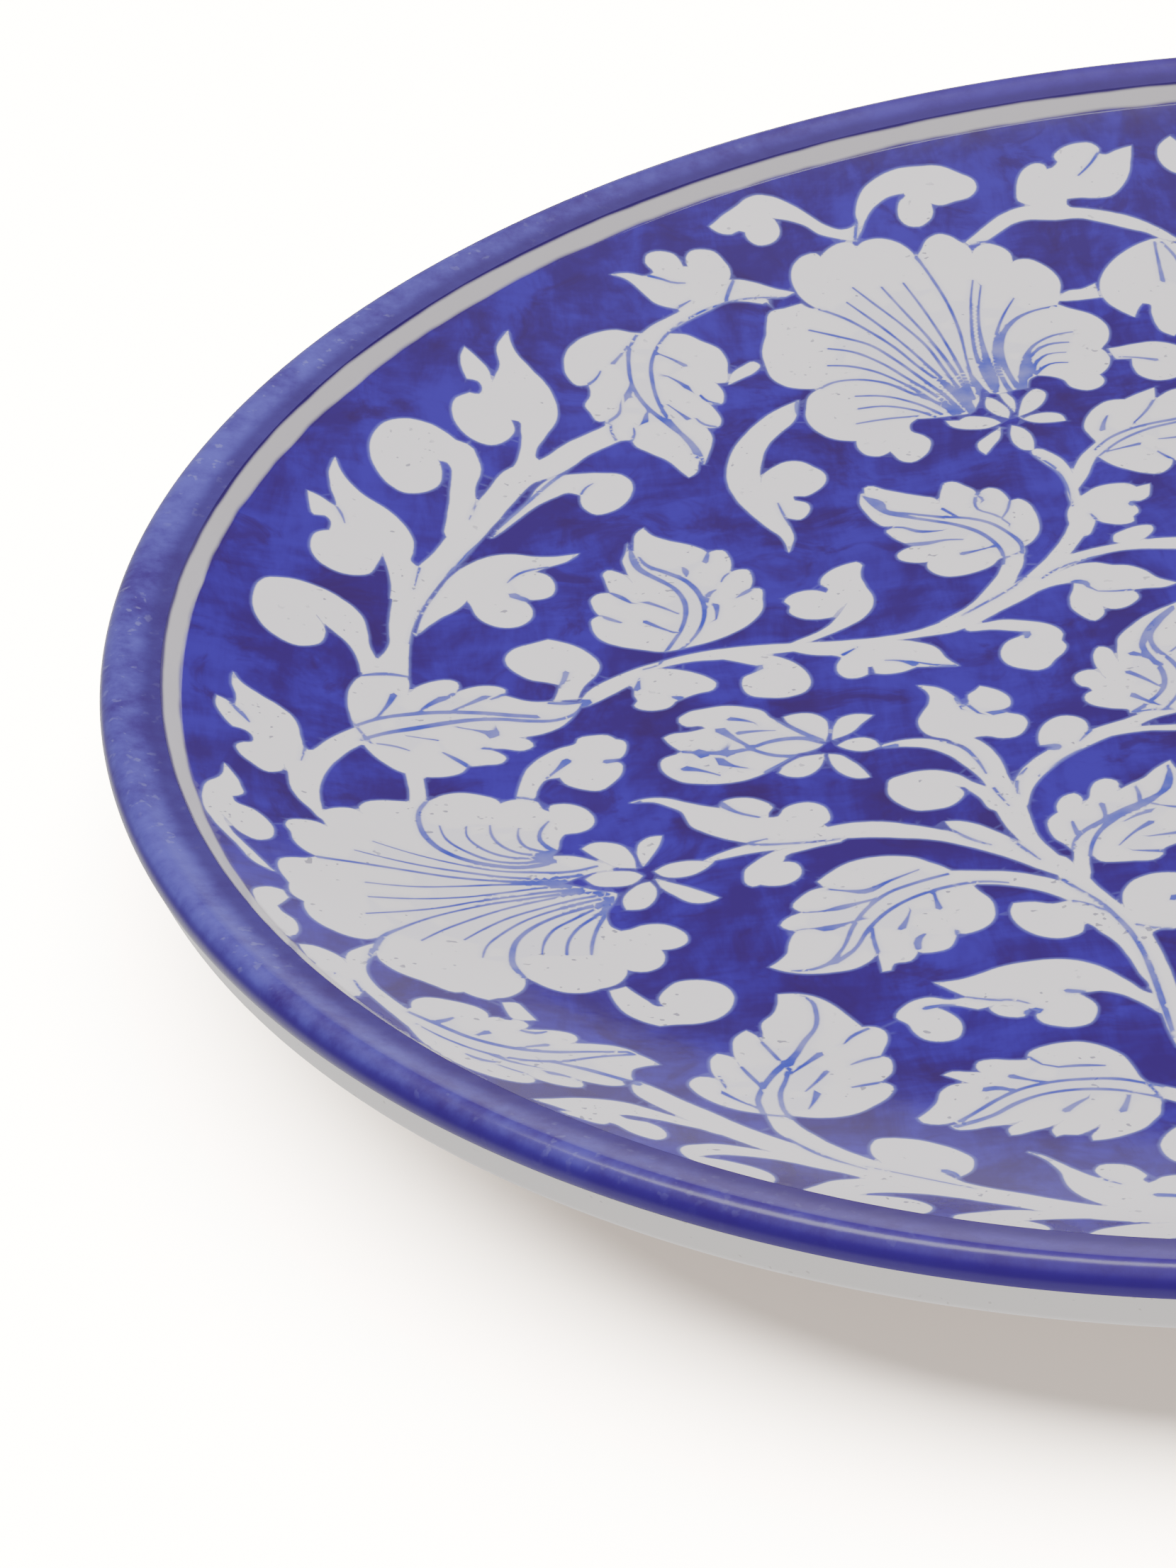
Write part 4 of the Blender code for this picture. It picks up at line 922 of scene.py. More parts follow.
def paint_trunk():
    stem(
        "-50.5,-47.6,3 -46.5,-48.4,2.8 -43,-49.3,2.8 -40,-50.8,2.7 -37.2,-52.8,2.8 -34.8,-55.6,2.4 "
        "-32.8,-58.6,2"
    )
    white(
        "-43,-54.9! -40.5,-55.1 -38.5,-55.9 -36,-55.7 -33.5,-57.5 -31.8,-60 -30.8,-63 -30.2,-67 -29.7,-71 "
        "-29.6,-75 -30.4,-73 -31.2,-69 -32.2,-65.5 -33.5,-63.2 -34.6,-61.2 -35.4,-60.4! -35.6,-61.6 "
        "-35.9,-62.5 -37,-63.1 -39,-63.2 -41,-62.2 -42.6,-60.4 -43.4,-58.4 -43.6,-56.5"
    )
    stem(
        "-28.2,-88,.8 -28.2,-84,1.8 -28.1,-80,2.4 -28.3,-76,2.8 -28.7,-72,3.2 -29.3,-68,3.6 -30.1,-64,3.8 "
        "-31.2,-60.5,3.6 -32.8,-57,3.4 -34.4,-53.5,3.4 -35.4,-50,3 -36.4,-47,2.4"
    )
    brush(
        "-36.5,-51,.6 -35,-53.5,.6 -33,-56.5,.6 -31.5,-60,.7 -30.2,-64,.7 -29.5,-68,.7 -29.1,-73,.8 "
        "-28.9,-79,.8 -28.7,-86,.5"
    )
    brush("-36,-55.8,.5 -34,-57,.4 -32.7,-58.6,.25")
    white(
        "-30.2,-59.5! -30.2,-57 -29.6,-54.6 -28.2,-52.8 -26,-51.9 -24,-51.9 -22,-52.8 -20.6,-55 -20.2,-58 "
        "-21,-61 -23,-63.2 -25.4,-63.9! -27.3,-63.8 -28.2,-64.6 -28.4,-67! -29.3,-64 -30.4,-61.6!"
    )
    brush("-29.4,-62.2,.4 -27.5,-63.3,.5 -25.5,-63.8,.4")
    brush("-24.3,-57.4,1.2 -23.4,-57.2,.8 -22.2,-58,.3")


def paint_sweeping_leaf():
    white(
        "-54.3,-69.5! -51.5,-69.6 -49,-68.9 -46.5,-67.9 -43.5,-67.5 -40.5,-67.5 -38,-68.1 -35.5,-69.6 "
        "-33.5,-71.8 -31.8,-74.3 -30.3,-76.5 -29.2,-77.1! -29.4,-79.3 -29.7,-80.5! -31.5,-78 -33.5,-76 "
        "-35.5,-75 -37.3,-74.9 -39.2,-74.2! -37.6,-75.8 -36.6,-77.5 -36.7,-79.5 -37.7,-81.2 -39.5,-81.6 "
        "-41.5,-81 -42.8,-80.2 -43.5,-78.5 -43,-77.6! -44.2,-76.8! -45,-78.4 -46.5,-78.2 -48.2,-77 "
        "-48.6,-76.1 -47.5,-75.2 -45.6,-75.2! -48.5,-74.2 -50.9,-73.2! -52.5,-71.5"
    )
    brush("-39.4,-74.3,.9 -37.5,-74.8,.6")
    brush("-44.4,-77.7,1.1 -43.2,-77.5,1.3")
    brush("-51,-73.2,.35 -48,-74.4,.45 -45.4,-75,.4 -44.2,-75.8,.3")
    white(
        "-59.5,-76 -58.5,-74 -57,-72.8 -55.2,-72.5 -53,-73.5 -51,-73.4 -48.5,-74.5 -46,-75.1! -48,-75.5 "
        "-50,-75.9! -51.3,-75.2 -52.5,-74.6 -54,-74.4 -55.8,-74.6! -54.5,-75 -53.2,-76.3 -52.4,-78 "
        "-52.3,-79.8 -53,-81.5 -54.8,-82 -56.8,-81.3 -57.8,-79.5 -58.3,-77.7"
    )
    brush("-56,-74.6,.8 -54,-74.4,.6 -52.5,-74.5,.3")


def paint_near_right_leaf():
    white(
        "-59.5,-99.6! -58.2,-98 -57,-95.8 -56.3,-93.5 -55,-92.1 -53,-91.8! -54.1,-90.8 -55.6,-89.6! "
        "-54.5,-89 -53,-89.3 -51.3,-89.6! -51.7,-88.3 -51.3,-87.2 -50,-86.9 -47.8,-87.4 -45.8,-87.6! "
        "-45.3,-86 -44,-85.2 -41.5,-84.7 -39,-85 -37,-86.3 -35.2,-88.3 -34.3,-91 -33.8,-93.5 -32.8,-95.8 "
        "-32,-98 -32.5,-100 -32.9,-102 -34,-103.5 -35,-104.8 -37,-106 -39,-106.8 -41,-107! -41,-106 "
        "-40,-104.4 -39.7,-103.3! -41,-104.5 -42.5,-105.4 -44,-105.2 -44.9,-105.6! -45.1,-104 "
        "-44.4,-102.7 -43.6,-101.8! -45.5,-103.2 -47.5,-103.9 -48.7,-104.5 -49.8,-104.7! -49.9,-103.2 "
        "-49.2,-102.2 -48.1,-101.3! -50,-102 -52,-102.2 -54,-102.8 -55.7,-102.6 -56.1,-101.8! "
        "-55.3,-101.2 -55.7,-100.8! -57.5,-101.3 -59,-100.8"
    )
    stem(
        "-34.5,-95.6,2.4 -32,-97,2.4 -29.5,-98.8,2.4 -27,-101,2.4 -24.6,-104,2.4 -22.6,-108,2.6 "
        "-21.4,-113,2.4 -21.6,-118,1.6"
    )
    brush(
        "-55,-100.7,.6 -53,-98.7,.6 -50.5,-96.2,.6 -47.5,-94,.6 -44,-92.9,.6 -40,-92.8,.6 -36,-93.5,.6 "
        "-33.5,-94.8,.5 -31.5,-96,.4"
    )
    brush(
        "-55.5,-101.9,.9 -53.5,-101,.8 -51,-99.5,.7 -48.5,-97.3,.7 -46,-95.8,.6 -42.5,-95,.6 "
        "-38.5,-95.3,.6 -35,-96.5,.5 -32.2,-98.3,.5"
    )
    brush("-33.5,-94.5,.3 -32.5,-97,.4 -32,-100,.3")
    brush("-48,-90.9,1 -46.5,-91.8,.5 -44.3,-92.7,.3")
    brush("-51.4,-93.5,1 -50.2,-93.3,1 -48,-94.3,.4")
    brush("-42.5,-89.7,.4 -40,-89.8,.6 -37.3,-90.3,.3")
    brush("-43,-99.5,1 -41.5,-98,.6 -40.2,-97,.3")
    brush("-35.4,-96.4,.3 -36,-98.5,.6 -36.8,-100.6,.9")
    brush("-45.6,-87,.5 -44.3,-88.8,.3")
    white(
        "-33.9,-109.3! -33.3,-107.6 -32,-105.8 -30,-104.6 -27.6,-104.8 -26,-106.6 -25.6,-109.2 -26.4,-112 "
        "-28.4,-114.2 -31,-114.8 -33,-113.3 -33.8,-111.2"
    )


def paint_low_vine():
    stem(
        "-91.6,-92.8,1.4 -91.2,-94.6,2.8 -90.2,-96.6,3.3 -88.4,-99,3.5 -85.9,-101.8,3.7 -83.2,-105.2,3.7 "
        "-80.2,-108.2,3.6 -76.3,-111.5,3.7 -73.2,-113.7,3.8 -70.2,-116,4 -67,-118,4.2 -63.5,-120.2,4.6 "
        "-60,-122.2,4.4 -56.5,-124.2,4 -53,-126,3.8 -49.5,-128.2,3.8 -45.5,-130.6,4 -41,-132,4 "
        "-36,-133.2,3.6 -30,-134,3.2 -24,-133.6,2.6 -18,-132.4,1.6 -14,-131,.8"
    )
    stem(
        "-75.6,-98.8,2.2 -75.5,-101,2.6 -75.2,-103.6,3 -73.8,-106.8,3 -72.1,-110.1,3.1 -69.8,-113.3,3.3 "
        "-67,-116.3,3.6 -63.5,-119.2,3.6 -60,-121.6,3"
    )
    brush("-76,-107,.3 -74.4,-110.2,.6 -72.8,-112.5,.6 -70.9,-114.4,.4 -68.5,-116.4,.2")
    brush("-68.3,-115.5,.15 -64.5,-117.4,.25 -60.6,-119.7,.25 -56.8,-122,.2")
    brush("-77.6,-99,.4 -75.6,-99.3,.5 -73.8,-99,.4")
    white(
        "-62.7,-104.6! -60.2,-105.2 -57.9,-106.6 -56,-108.3 -55,-110.4 -55.2,-112.5 -56,-115.1 -57,-116.7 "
        "-58.1,-117.9! -58.5,-116.4 -59.4,-116.8! -58.3,-119 -57.1,-121.3 -55.4,-123.2 -58,-124.8 "
        "-62,-122.5 -65.6,-118.5 -66.4,-116 -66.2,-113.5 -66.6,-111.6 -66.5,-109.3 -65.9,-107 "
        "-64.8,-105.3"
    )
    brush("-59.2,-115.6,1 -58.4,-116.6,1 -58,-118.2,.4")
    white(
        "-48.4,-109.2! -46.8,-111.2 -46,-113.5 -45.8,-115.5 -46,-118.2 -46,-120.5 -45.6,-123.2 "
        "-44.8,-125.5 -43.5,-127.6 -41,-129.6 -38,-131 -35,-132.5 -32.5,-131 -31.5,-128.5 -31.4,-126.2! "
        "-29.8,-124.8 -29.2,-122 -30.2,-119.2 -32,-117.4 -33.8,-117.1 -35,-117.6 -36,-118.8 -36.9,-119.6! "
        "-37.3,-118.4 -36.6,-116.8 -37,-115.6 -37.9,-114.1 -39.7,-113.3 -41.2,-113.5 -41.9,-114.8 "
        "-41.7,-116.8 -41.3,-118.4! -42.5,-117 -43.7,-115.1 -44.8,-113.2 -46,-111.5 -47.2,-110.1"
    )
    brush("-41.6,-118,.4 -40,-119.8,.2")
    brush("-36.8,-124.2,1 -35.4,-124.5,1 -33,-125.4,.4")


def paint_near_sprouts():
    white(
        "-105.5,-101.4! -103.5,-100.7 -101.6,-99.9 -99.3,-99.4 -96.6,-99.4 -94.3,-99.9 -92.4,-101 "
        "-90.5,-102.2 -88.5,-103.3 -86.6,-104.5 -84.6,-105.2 -82.6,-107.2 -84.3,-107.8 -86.6,-106.4 "
        "-89.3,-105.5 -91.2,-104.8 -93.5,-104.4 -95.6,-104.3 -96.6,-104.6! -96,-105.7 -95,-106 "
        "-93.4,-106.2 -92.3,-107.2 -91.7,-108.6 -91.7,-110.1 -92.4,-111.7 -93.4,-112.4 -94.8,-111.9 "
        "-96.1,-110.8 -97,-109.5 -97.8,-108.3 -98.5,-107.9! -99.4,-108.9 -100.5,-108.7 -102,-107.5 "
        "-103.4,-106.2 -103.7,-105.5! -102.4,-105.2! -103.5,-103.9 -104.5,-102.7"
    )
    white(
        "-76.5,-113 -79.4,-112.4 -81.7,-111.9 -84,-111.5 -86.3,-111.7 -88.2,-112.5 -90,-113.6 -90.8,-115 "
        "-90.9,-116.7 -90.3,-118.4 -88.6,-120.2 -86.7,-121.6 -84.4,-123.1 -82.5,-124.2 -81.2,-124.7! "
        "-80.7,-122.9 -80.9,-121.3 -82,-119.8 -83.6,-118.6 -85.5,-117.8 -87.4,-117.4 -88.8,-117.1! "
        "-87.5,-116.1 -85.5,-115.3 -83.2,-115 -80.9,-115 -79,-115.3 -76.7,-116.1 -74,-117.4 -71.3,-118.6 "
        "-68.8,-119.7 -66,-118 -70,-115 -73.5,-113"
    )
    white(
        "-66,-119.4 -68.9,-119.8 -70.5,-120.5 -72.5,-121.3 -74.2,-122.5 -75.6,-124 -77.1,-125.7 "
        "-77.9,-126.6! -75.9,-127.8 -73.2,-129.5 -70.9,-131 -68.6,-132.5 -66.7,-133.5 -65.2,-133.3 "
        "-64,-131.9 -63.5,-130.2 -64.1,-128.6 -65.5,-127.5 -67.5,-126.9 -69.4,-126.8 -71.4,-127! "
        "-70.3,-126 -68.6,-125.3 -66.3,-124.9 -64,-124.8 -61.7,-125.2 -58.6,-126.3 -56,-127.3 -54,-125.5 "
        "-58,-123.5 -62,-121"
    )
    white(
        "-46,-130 -49.4,-130.6 -51.4,-130.6 -53.7,-130.3 -56,-130.7 -57.9,-131.5 -60.2,-132.6 "
        "-61.5,-133.5 -61.9,-134.8! -59.5,-135.9 -56.8,-137.3 -54.1,-138.4 -52.2,-138.9 -51.5,-138.3! "
        "-51.7,-136.8 -52.5,-135.7 -53.8,-134.7! -51.4,-134 -48.3,-133.5 -45.2,-133.4 -42.2,-133.7 "
        "-39.5,-134.2 -36.4,-134.8! -37,-132 -41,-130.5"
    )
    white(
        "-47.3,-140.2! -46,-138.5 -44.1,-137.2 -42.2,-136.3 -39.5,-135.8 -36.4,-135.3 -32,-134.6 "
        "-28,-133.6 -27,-135 -30,-137 -31.4,-139.4 -32.2,-142.2! -35,-142.9 -37.9,-142.2 -39.1,-142.7! "
        "-40.2,-142.9 -42.5,-142.1 -45.2,-141.1"
    )


def paint_middle_sprigs():
    stem("0,0,1.6 1.2,4,1.6 1,8,1.8")
    white(
        "1,6! -1.6,7.4 -3.6,9.8 -4.4,12.4! -3,12.6 -2.6,13! -3.4,15.4 -2.6,17.6! -1.4,17.2! -.4,19.6 "
        "1.2,21.8! 2,19.2! 3.4,19.4 4.6,18! 4.2,15.8! 5.6,14.8 6,12.8 4.8,9.6 3,7.2"
    )
    brush("1,7.2,.6 1.2,11,.5 .6,15,.4 .9,19,.3")
    brush("1.1,9.6,.4 3,12.2,.5 3.8,13.4,.2")
    brush("1,11.6,.4 -.8,13.6,.5 -1.6,14.8,.2")
    stem("5.4,33,.8 6.4,38,1.8 8.4,44,2 11,51,2 14,58,2 16.4,65,2 17,71,1.8 16,77,1.6")
    white(
        "7.4,41.4! 5.6,43.4 3,44.2 .8,43.6 .2,41.8 1,40.2! 2.6,40.8 3.8,40.4! 3.2,38.6 4,36.8 5.8,36.2 "
        "7,37.2 7.2,39.4"
    )
    white("10.6,50.4! 8.6,50.8 6.4,52.4 5.2,54.8 5.8,57.2 7.8,58 9.8,57 10.8,55 11.4,52.6")
    white("12.6,55! 14.6,53.4 17.2,52.4 19.6,53 20.6,55 19.6,57 17.4,57.6! 16.2,58.8 14.4,58.4")
    white(
        "16,72! 12.4,73 9.6,75.6 8.2,79! 9.8,79.4! 8.4,82.4 8.2,85.6! 9.8,85.2! 9.4,88 10.2,90.4! "
        "11.6,89.4! 12,92.4 13.8,95.4 16,97.6! 16.6,94.6! 18.4,94.8 19.8,93! 18.8,90.8! 20.8,89.8 "
        "21.6,87.2! 20.2,86! 22,84 22.4,81! 20.8,80.8! 21.4,77.8 20.2,75 18.2,73"
    )
    brush("16.2,72.6,.8 15.4,77,.7 14.2,82,.7 14,87,.6 14.8,92,.5 16,96,.3")
    brush("16.8,73,.5 16.6,77.4,.6 15.6,82,.5 15.4,86,.4")
    brush("15.2,78.6,.4 12.4,79.4,.6 11.2,80.2,.9")
    brush("14.4,83.4,.4 11.8,84.4,.6 10.8,85.6,.9")
    brush("16.2,79.6,.4 18.4,79.2,.5 19.6,78.6,.3")
    brush("15.4,84.4,.4 17.8,84.8,.5 19.2,85.4,.3")
    stem("15.6,97.4,.8 13.6,101,1.6 11.6,105.6,1.8 10.2,111,1.8 9.6,117,1.6 9,123,1.4 7.4,128,1")
    white("11.4,105.8! 12.8,103.8 15,103 17,104 17.4,106.4 16.2,108.6 14,109.2! 12.8,110.6! 12.2,108.4")
    white("9.8,113.2! 7.6,112.4 5.6,110.4 4.8,107.8 5.6,105.4! 7.2,106.4! 8.6,105.4! 9.8,107.6 10.2,110.4")
    white("9.4,118.6! 11.4,117 13.8,117.2 15,119.2 14.4,121.6 12.4,122.6 10.4,121.8")
    white(
        "7.8,127! 5.6,128.4 4.2,131 4.6,133.8 6.6,135.6! 7.4,134.4! 9.4,135.4 11.6,134! 11.4,132 "
        "12.4,130! 10.6,128.2"
    )


def paint_the_motifs():
    paint_left_vine()
    paint_hanging_leaf()
    paint_sickle()
    paint_big_flower_a()
    paint_calyx_a()
    paint_top_right()
    paint_centre_leaf()
    paint_leaf_on_main_vine()
    paint_trefoil_on_vine()
    paint_main_vine()
    paint_buds_under_vine()
    paint_lying_leaf()
    paint_bud_between()
    paint_pod_and_calyx()
    paint_right_trunk()
    paint_leaf_by_trunk()
    paint_leaf_bud_and_stem()
    paint_calyx_b()
    paint_big_flower_b()
    paint_low_left_leaf()
    paint_standing_leaf()
    paint_leaf_of_trunk_left()
    paint_trunk()
    paint_sweeping_leaf()
    paint_near_right_leaf()
    paint_low_vine()
    paint_near_sprouts()
    paint_middle_sprigs()


def signed_distance(places, outline):
    """Distance from each place to a closed outline, positive inside it."""
    start = outline
    run = np.roll(outline, -1, axis=0) - start
    length = np.maximum((run ** 2).sum(1), 1e-12)
    x, y = places[:, :1], places[:, 1:]
    along = ((x - start[:, 0]) * run[:, 0] + (y - start[:, 1]) * run[:, 1]) / length
    along = np.clip(along, 0, 1)
    apart = np.hypot(x - start[:, 0] - along * run[:, 0], y - start[:, 1] - along * run[:, 1]).min(1)
    end_y = start[:, 1] + run[:, 1]
    spans = (start[:, 1] > y) != (end_y > y)
    safe = np.where(np.abs(run[:, 1]) < 1e-12, 1e-12, run[:, 1])
    left_of = x < start[:, 0] + (y - start[:, 1]) * run[:, 0] / safe
    inside = (spans & left_of).sum(1) % 2 == 1
    return np.where(inside, apart, -apart)


def stroke_distance(places, stroke):
    """Distance from each place to the edge of a stroke, negative within it."""
    start = stroke[:-1]
    run = stroke[1:] - start
    length = np.maximum((run[:, :2] ** 2).sum(1), 1e-12)
    x, y = places[:, :1], places[:, 1:]
    along = ((x - start[:, 0]) * run[:, 0] + (y - start[:, 1]) * run[:, 1]) / length
    along = np.clip(along, 0, 1)
    apart = np.hypot(x - start[:, 0] - along * run[:, 0], y - start[:, 1] - along * run[:, 1])
    return (apart - (start[:, 2] + along * run[:, 2]) / 2).min(1)


# All in millimetres
REACH = 3.0                                       # how far from a motif its distance is measured
EDGE_ROW = 0.35                                   # rows of points beside an edge of the paint
OUTER_ROW = 0.9
BRUSH_ROW = 0.25
PAINT_SPACING = 0.3                               # least distance between those points
GRID_SPACING = 2.1                                # the plain grid between them
GRID_CLEARANCE = 0.9                              # how far the grid keeps from those points
PAINT_MARGIN = 0.65                               # both stop this far short of the white line
GRID_MARGIN = 1.4


def near(places, line):
    """Which places lie close enough to a line to be measured from it."""
    low = line[:, :2].min(0) - REACH - 2
    high = line[:, :2].max(0) + REACH + 2
    return np.nonzero(((places > low) & (places < high)).all(1))[0]


def white_field(places):
    """How far inside the white each place lies, in millimetres, negative out in the blue."""
    field = np.full(len(places), -REACH)
    for outline in WHITES:
        close = near(places, outline)
        field[close] = np.maximum(field[close], signed_distance(places[close], outline[:, :2]))
    for stroke in STEMS:
        close = near(places, stroke)
        field[close] = np.maximum(field[close], -stroke_distance(places[close], stroke))
    return np.clip(field, -REACH, REACH)


def brush_field(places):
    """Distance to the edge of the nearest blue brush line, in millimetres, negative within it."""
    field = np.full(len(places), REACH)
    for stroke in BRUSHES:
        close = near(places, stroke)
        field[close] = np.minimum(field[close], stroke_distance(places[close], stroke))
    return field


def rows_beside(line, offsets, closed, every=1):
    """Copies of a line moved sideways, so the edges of the paint get rows of points of their own."""
    flat = line[:, :2]
    if closed:
        ahead = np.roll(flat, -1, axis=0) - np.roll(flat, 1, axis=0)
    else:
        ahead = np.gradient(flat, axis=0)
    ahead /= np.maximum(np.hypot(ahead[:, 0], ahead[:, 1])[:, None], 1e-9)
    across = np.stack([-ahead[:, 1], ahead[:, 0]], 1)
    rows = []
    for offset in offsets:
        rows.append((flat + across * np.reshape(offset, (-1, 1)))[::every])
    return np.concatenate(rows)


def is_crowded(place, cells, column, row, apart):
    """Whether a place kept in this cell or one beside it is nearer than apart."""
    for i in (column - 1, column, column + 1):
        for j in (row - 1, row, row + 1):
            for other in cells.get((i, j), ()):
                if (other[0] - place[0]) ** 2 + (other[1] - place[1]) ** 2 < apart * apart:
                    return True
    return False


def thinned(places, apart, kept=()):
    """The places without those that crowd one already kept."""
    cells = {}
    for place in kept:
        cells.setdefault((int(place[0] // apart), int(place[1] // apart)), []).append(place)
    fresh = []
    for place in places:
        column, row = int(place[0] // apart), int(place[1] // apart)
        if not is_crowded(place, cells, column, row, apart):
            cells.setdefault((column, row), []).append(place)
            fresh.append(place)
    return fresh


def ring_of(radius, count):
    """Places spread evenly round a circle."""
    angles = np.arange(count) * 2 * pi / count
    return np.stack([radius * np.cos(angles), radius * np.sin(angles)], 1)


def painting_places():
    """Where the face's mesh has points: along the paint's edges, then a plain grid between them."""
    edge = FACE_RADIUS / MM
    line = LINE_RADIUS / MM
    groups = []
    for outline in WHITES:
        groups.append(outline[:, :2])
    for stroke in STEMS:
        half = stroke[:, 2] / 2
        groups.append(rows_beside(stroke, (half, -half), False))
    for stroke in BRUSHES:
        groups.append(stroke[:, :2])
    for outline in WHITES:
        groups.append(rows_beside(outline, (EDGE_ROW, -EDGE_ROW), True))
        groups.append(rows_beside(outline, (OUTER_ROW, -OUTER_ROW), True, 2))
    for stroke in STEMS:
        half = stroke[:, 2] / 2
        groups.append(rows_beside(stroke, (half + EDGE_ROW, -half - EDGE_ROW, half * 0), False))
        groups.append(rows_beside(stroke, (half + OUTER_ROW, -half - OUTER_ROW), False, 2))
    for stroke in BRUSHES:
        beside = stroke[:, 2] / 2 + BRUSH_ROW
        groups.append(rows_beside(stroke, (beside, -beside), False))
    places = np.concatenate(groups)
    places = places[np.hypot(places[:, 0], places[:, 1]) < line - PAINT_MARGIN]
    kept = thinned(places, PAINT_SPACING)
    grid = []
    rows = int(edge / (GRID_SPACING * sqrt(0.75))) + 1
    for row in range(-rows, rows + 1):
        for column in range(-rows, rows + 1):
            grid.append(((column + 0.5 * (row % 2)) * GRID_SPACING, row * GRID_SPACING * sqrt(0.75)))
    grid = np.array(grid)
    grid = grid[np.hypot(grid[:, 0], grid[:, 1]) < line - GRID_MARGIN]
    kept += thinned(grid, GRID_CLEARANCE, kept)
    radii = (line - EDGE_ROW, line, line + EDGE_ROW, line + 1, edge - 0.3, edge)
    rings = [ring_of(radius, SEGMENTS) for radius in radii]
    return np.concatenate([np.array(kept)] + rings)


def new_piece(name, mesh, node, finish):
    """Puts a finished mesh in the scene, riding the plate in place of its CAD piece."""
    mesh.shade_smooth()
    mesh.set_sharp_from_angle(angle=radians(40))
    mesh.materials.append(finish)
    piece = bpy.data.objects.new(name, mesh)
    bpy.context.scene.collection.objects.link(piece)
    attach(piece, "root")
    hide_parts(node)
    return piece


def field_on(mesh, name, values):
    """Keeps one number for each point of a mesh, under a name that its glaze can read."""
    layer = mesh.attributes.new(name, "FLOAT", "POINT")
    layer.data.foreach_set("value", np.asarray(values, dtype=np.float32))


def make_painted_face(finish):
    """The painted glaze of the well and the white line round it, closed below by a plain skin."""
    places = painting_places()
    flat, _, faces, _, _, _ = delaunay_2d_cdt([Vector(place) for place in places], [], [], 0, 1e-5)
    flat = np.array([(place[0], place[1]) for place in flat])
    corners = []
    for x, y in flat * MM:
        radius = hypot(x, y)
        corners.append((x, y, wall_height(min(radius, FACE_RADIUS)) + hand_made(x, y)))
    top = []
    for a, b, c in faces:
        turn = np.cross(flat[b] - flat[a], flat[c] - flat[a])
        if abs(turn) > 1e-9:
            top.append((a, b, c) if turn > 0 else (a, c, b))
    radii = np.hypot(flat[:, 0], flat[:, 1])
    edge = [i for i in range(len(flat)) if radii[i] > FACE_RADIUS / MM - 1e-3]
    edge.sort(key=lambda i: atan2(flat[i][1], flat[i][0]))
    skin = []
    lower = edge
    for step in range(SKIN_RINGS):
        radius = LINE_RADIUS - (LINE_RADIUS - FLOOR_RADIUS) * step / (SKIN_RINGS - 1)
        start = len(corners)
        height = wall_height(radius) - GLAZE - 0.05 * MM
        for i in edge:
            turn = atan2(flat[i][1], flat[i][0])
            corners.append((radius * cos(turn), radius * sin(turn), height))
        ring = list(range(start, start + len(edge)))
        for i in range(len(edge)):
            j = (i + 1) % len(edge)
            skin.append((lower[i], ring[i], ring[j], lower[j]))
        lower = ring
    corners.append((0, 0, FLOOR_HEIGHT - GLAZE))
    middle = len(corners) - 1
    for i in range(len(edge)):
        skin.append((lower[i], middle, lower[(i + 1) % len(edge)]))
    mesh = bpy.data.meshes.new("painted_face")
    mesh.from_pydata(corners, [], top + skin)
    mesh.validate()
    extra = len(corners) - len(flat)
    field_on(mesh, "white", np.append(white_field(flat), np.full(extra, -REACH)))
    field_on(mesh, "brush", np.append(brush_field(flat), np.full(extra, REACH)))
    return new_piece("painted_face", mesh, "face_glaze", finish)


def round_edge(middle, radius, start, end, steps):
    """Points round part of a circle, from one angle to another in degrees from level."""
    points = []
    for step in range(steps + 1):
        angle = radians(start + (end - start) * step / steps)
        points.append((middle[0] + radius * cos(angle), middle[1] + radius * sin(angle)))
    return points


def turned(name, outline, closed, uneven=0.0):
    """A closed mesh turned about the plate's middle. An open outline starts and ends on the axis."""
    corners = []
    rings = []
    for radius, height in outline:
        if radius < 1e-6:
            rings.append([len(corners)])
            corners.append((0, 0, height))
            continue
        rings.append(list(range(len(corners), len(corners) + SEGMENTS)))
        for step in range(SEGMENTS):
            turn = 2 * pi * step / SEGMENTS
            x, y = radius * cos(turn), radius * sin(turn)
            corners.append((x, y, height + uneven * hand_made(x, y)))
    faces = []
    pairs = list(zip(rings, rings[1:]))
    if closed:
        pairs.append((rings[-1], rings[0]))
    for first, second in pairs:
        for i in range(SEGMENTS):
            j = (i + 1) % SEGMENTS
            if len(first) == 1:
                faces.append((first[0], second[i], second[j]))
            elif len(second) == 1:
                faces.append((first[i], second[0], first[j]))
            else:
                faces.append((first[i], second[i], second[j], first[j]))
    mesh = bpy.data.meshes.new(name)
    mesh.from_pydata(corners, [], faces)
    mesh.validate()
    return mesh


def inset(curve, depth):
    """The curve moved into the clay, on its right-hand side."""
    moved = []
    for index, (radius, height) in enumerate(curve):
        before = curve[max(index - 1, 0)]
        after = curve[min(index + 1, len(curve) - 1)]
        run, rise = after[0] - before[0], after[1] - before[1]
        length = hypot(run, rise)
        moved.append((radius + depth * rise / length, height - depth * run / length))
    return moved


def lip_line():
    """Over the band: up from the white line, round the lip, down to the top of the rim's side."""
    middle = (LIP_RADIUS - LIP_ROLL, LIP_TOP - LIP_ROLL)
    roll = round_edge(middle, LIP_ROLL, LIP_START_ANGLE, SIDE_ANGLE, LIP_STEPS)
    points = []
    start = (FACE_RADIUS, FACE_TOP)
    for step in range(BAND_STEPS):
        share = step / BAND_STEPS
        dip = -BAND_DIP * sin(pi * share)
        height = start[1] + share * (roll[0][1] - start[1]) + dip
        points.append((start[0] + share * (roll[0][0] - start[0]), height))
    return points + roll


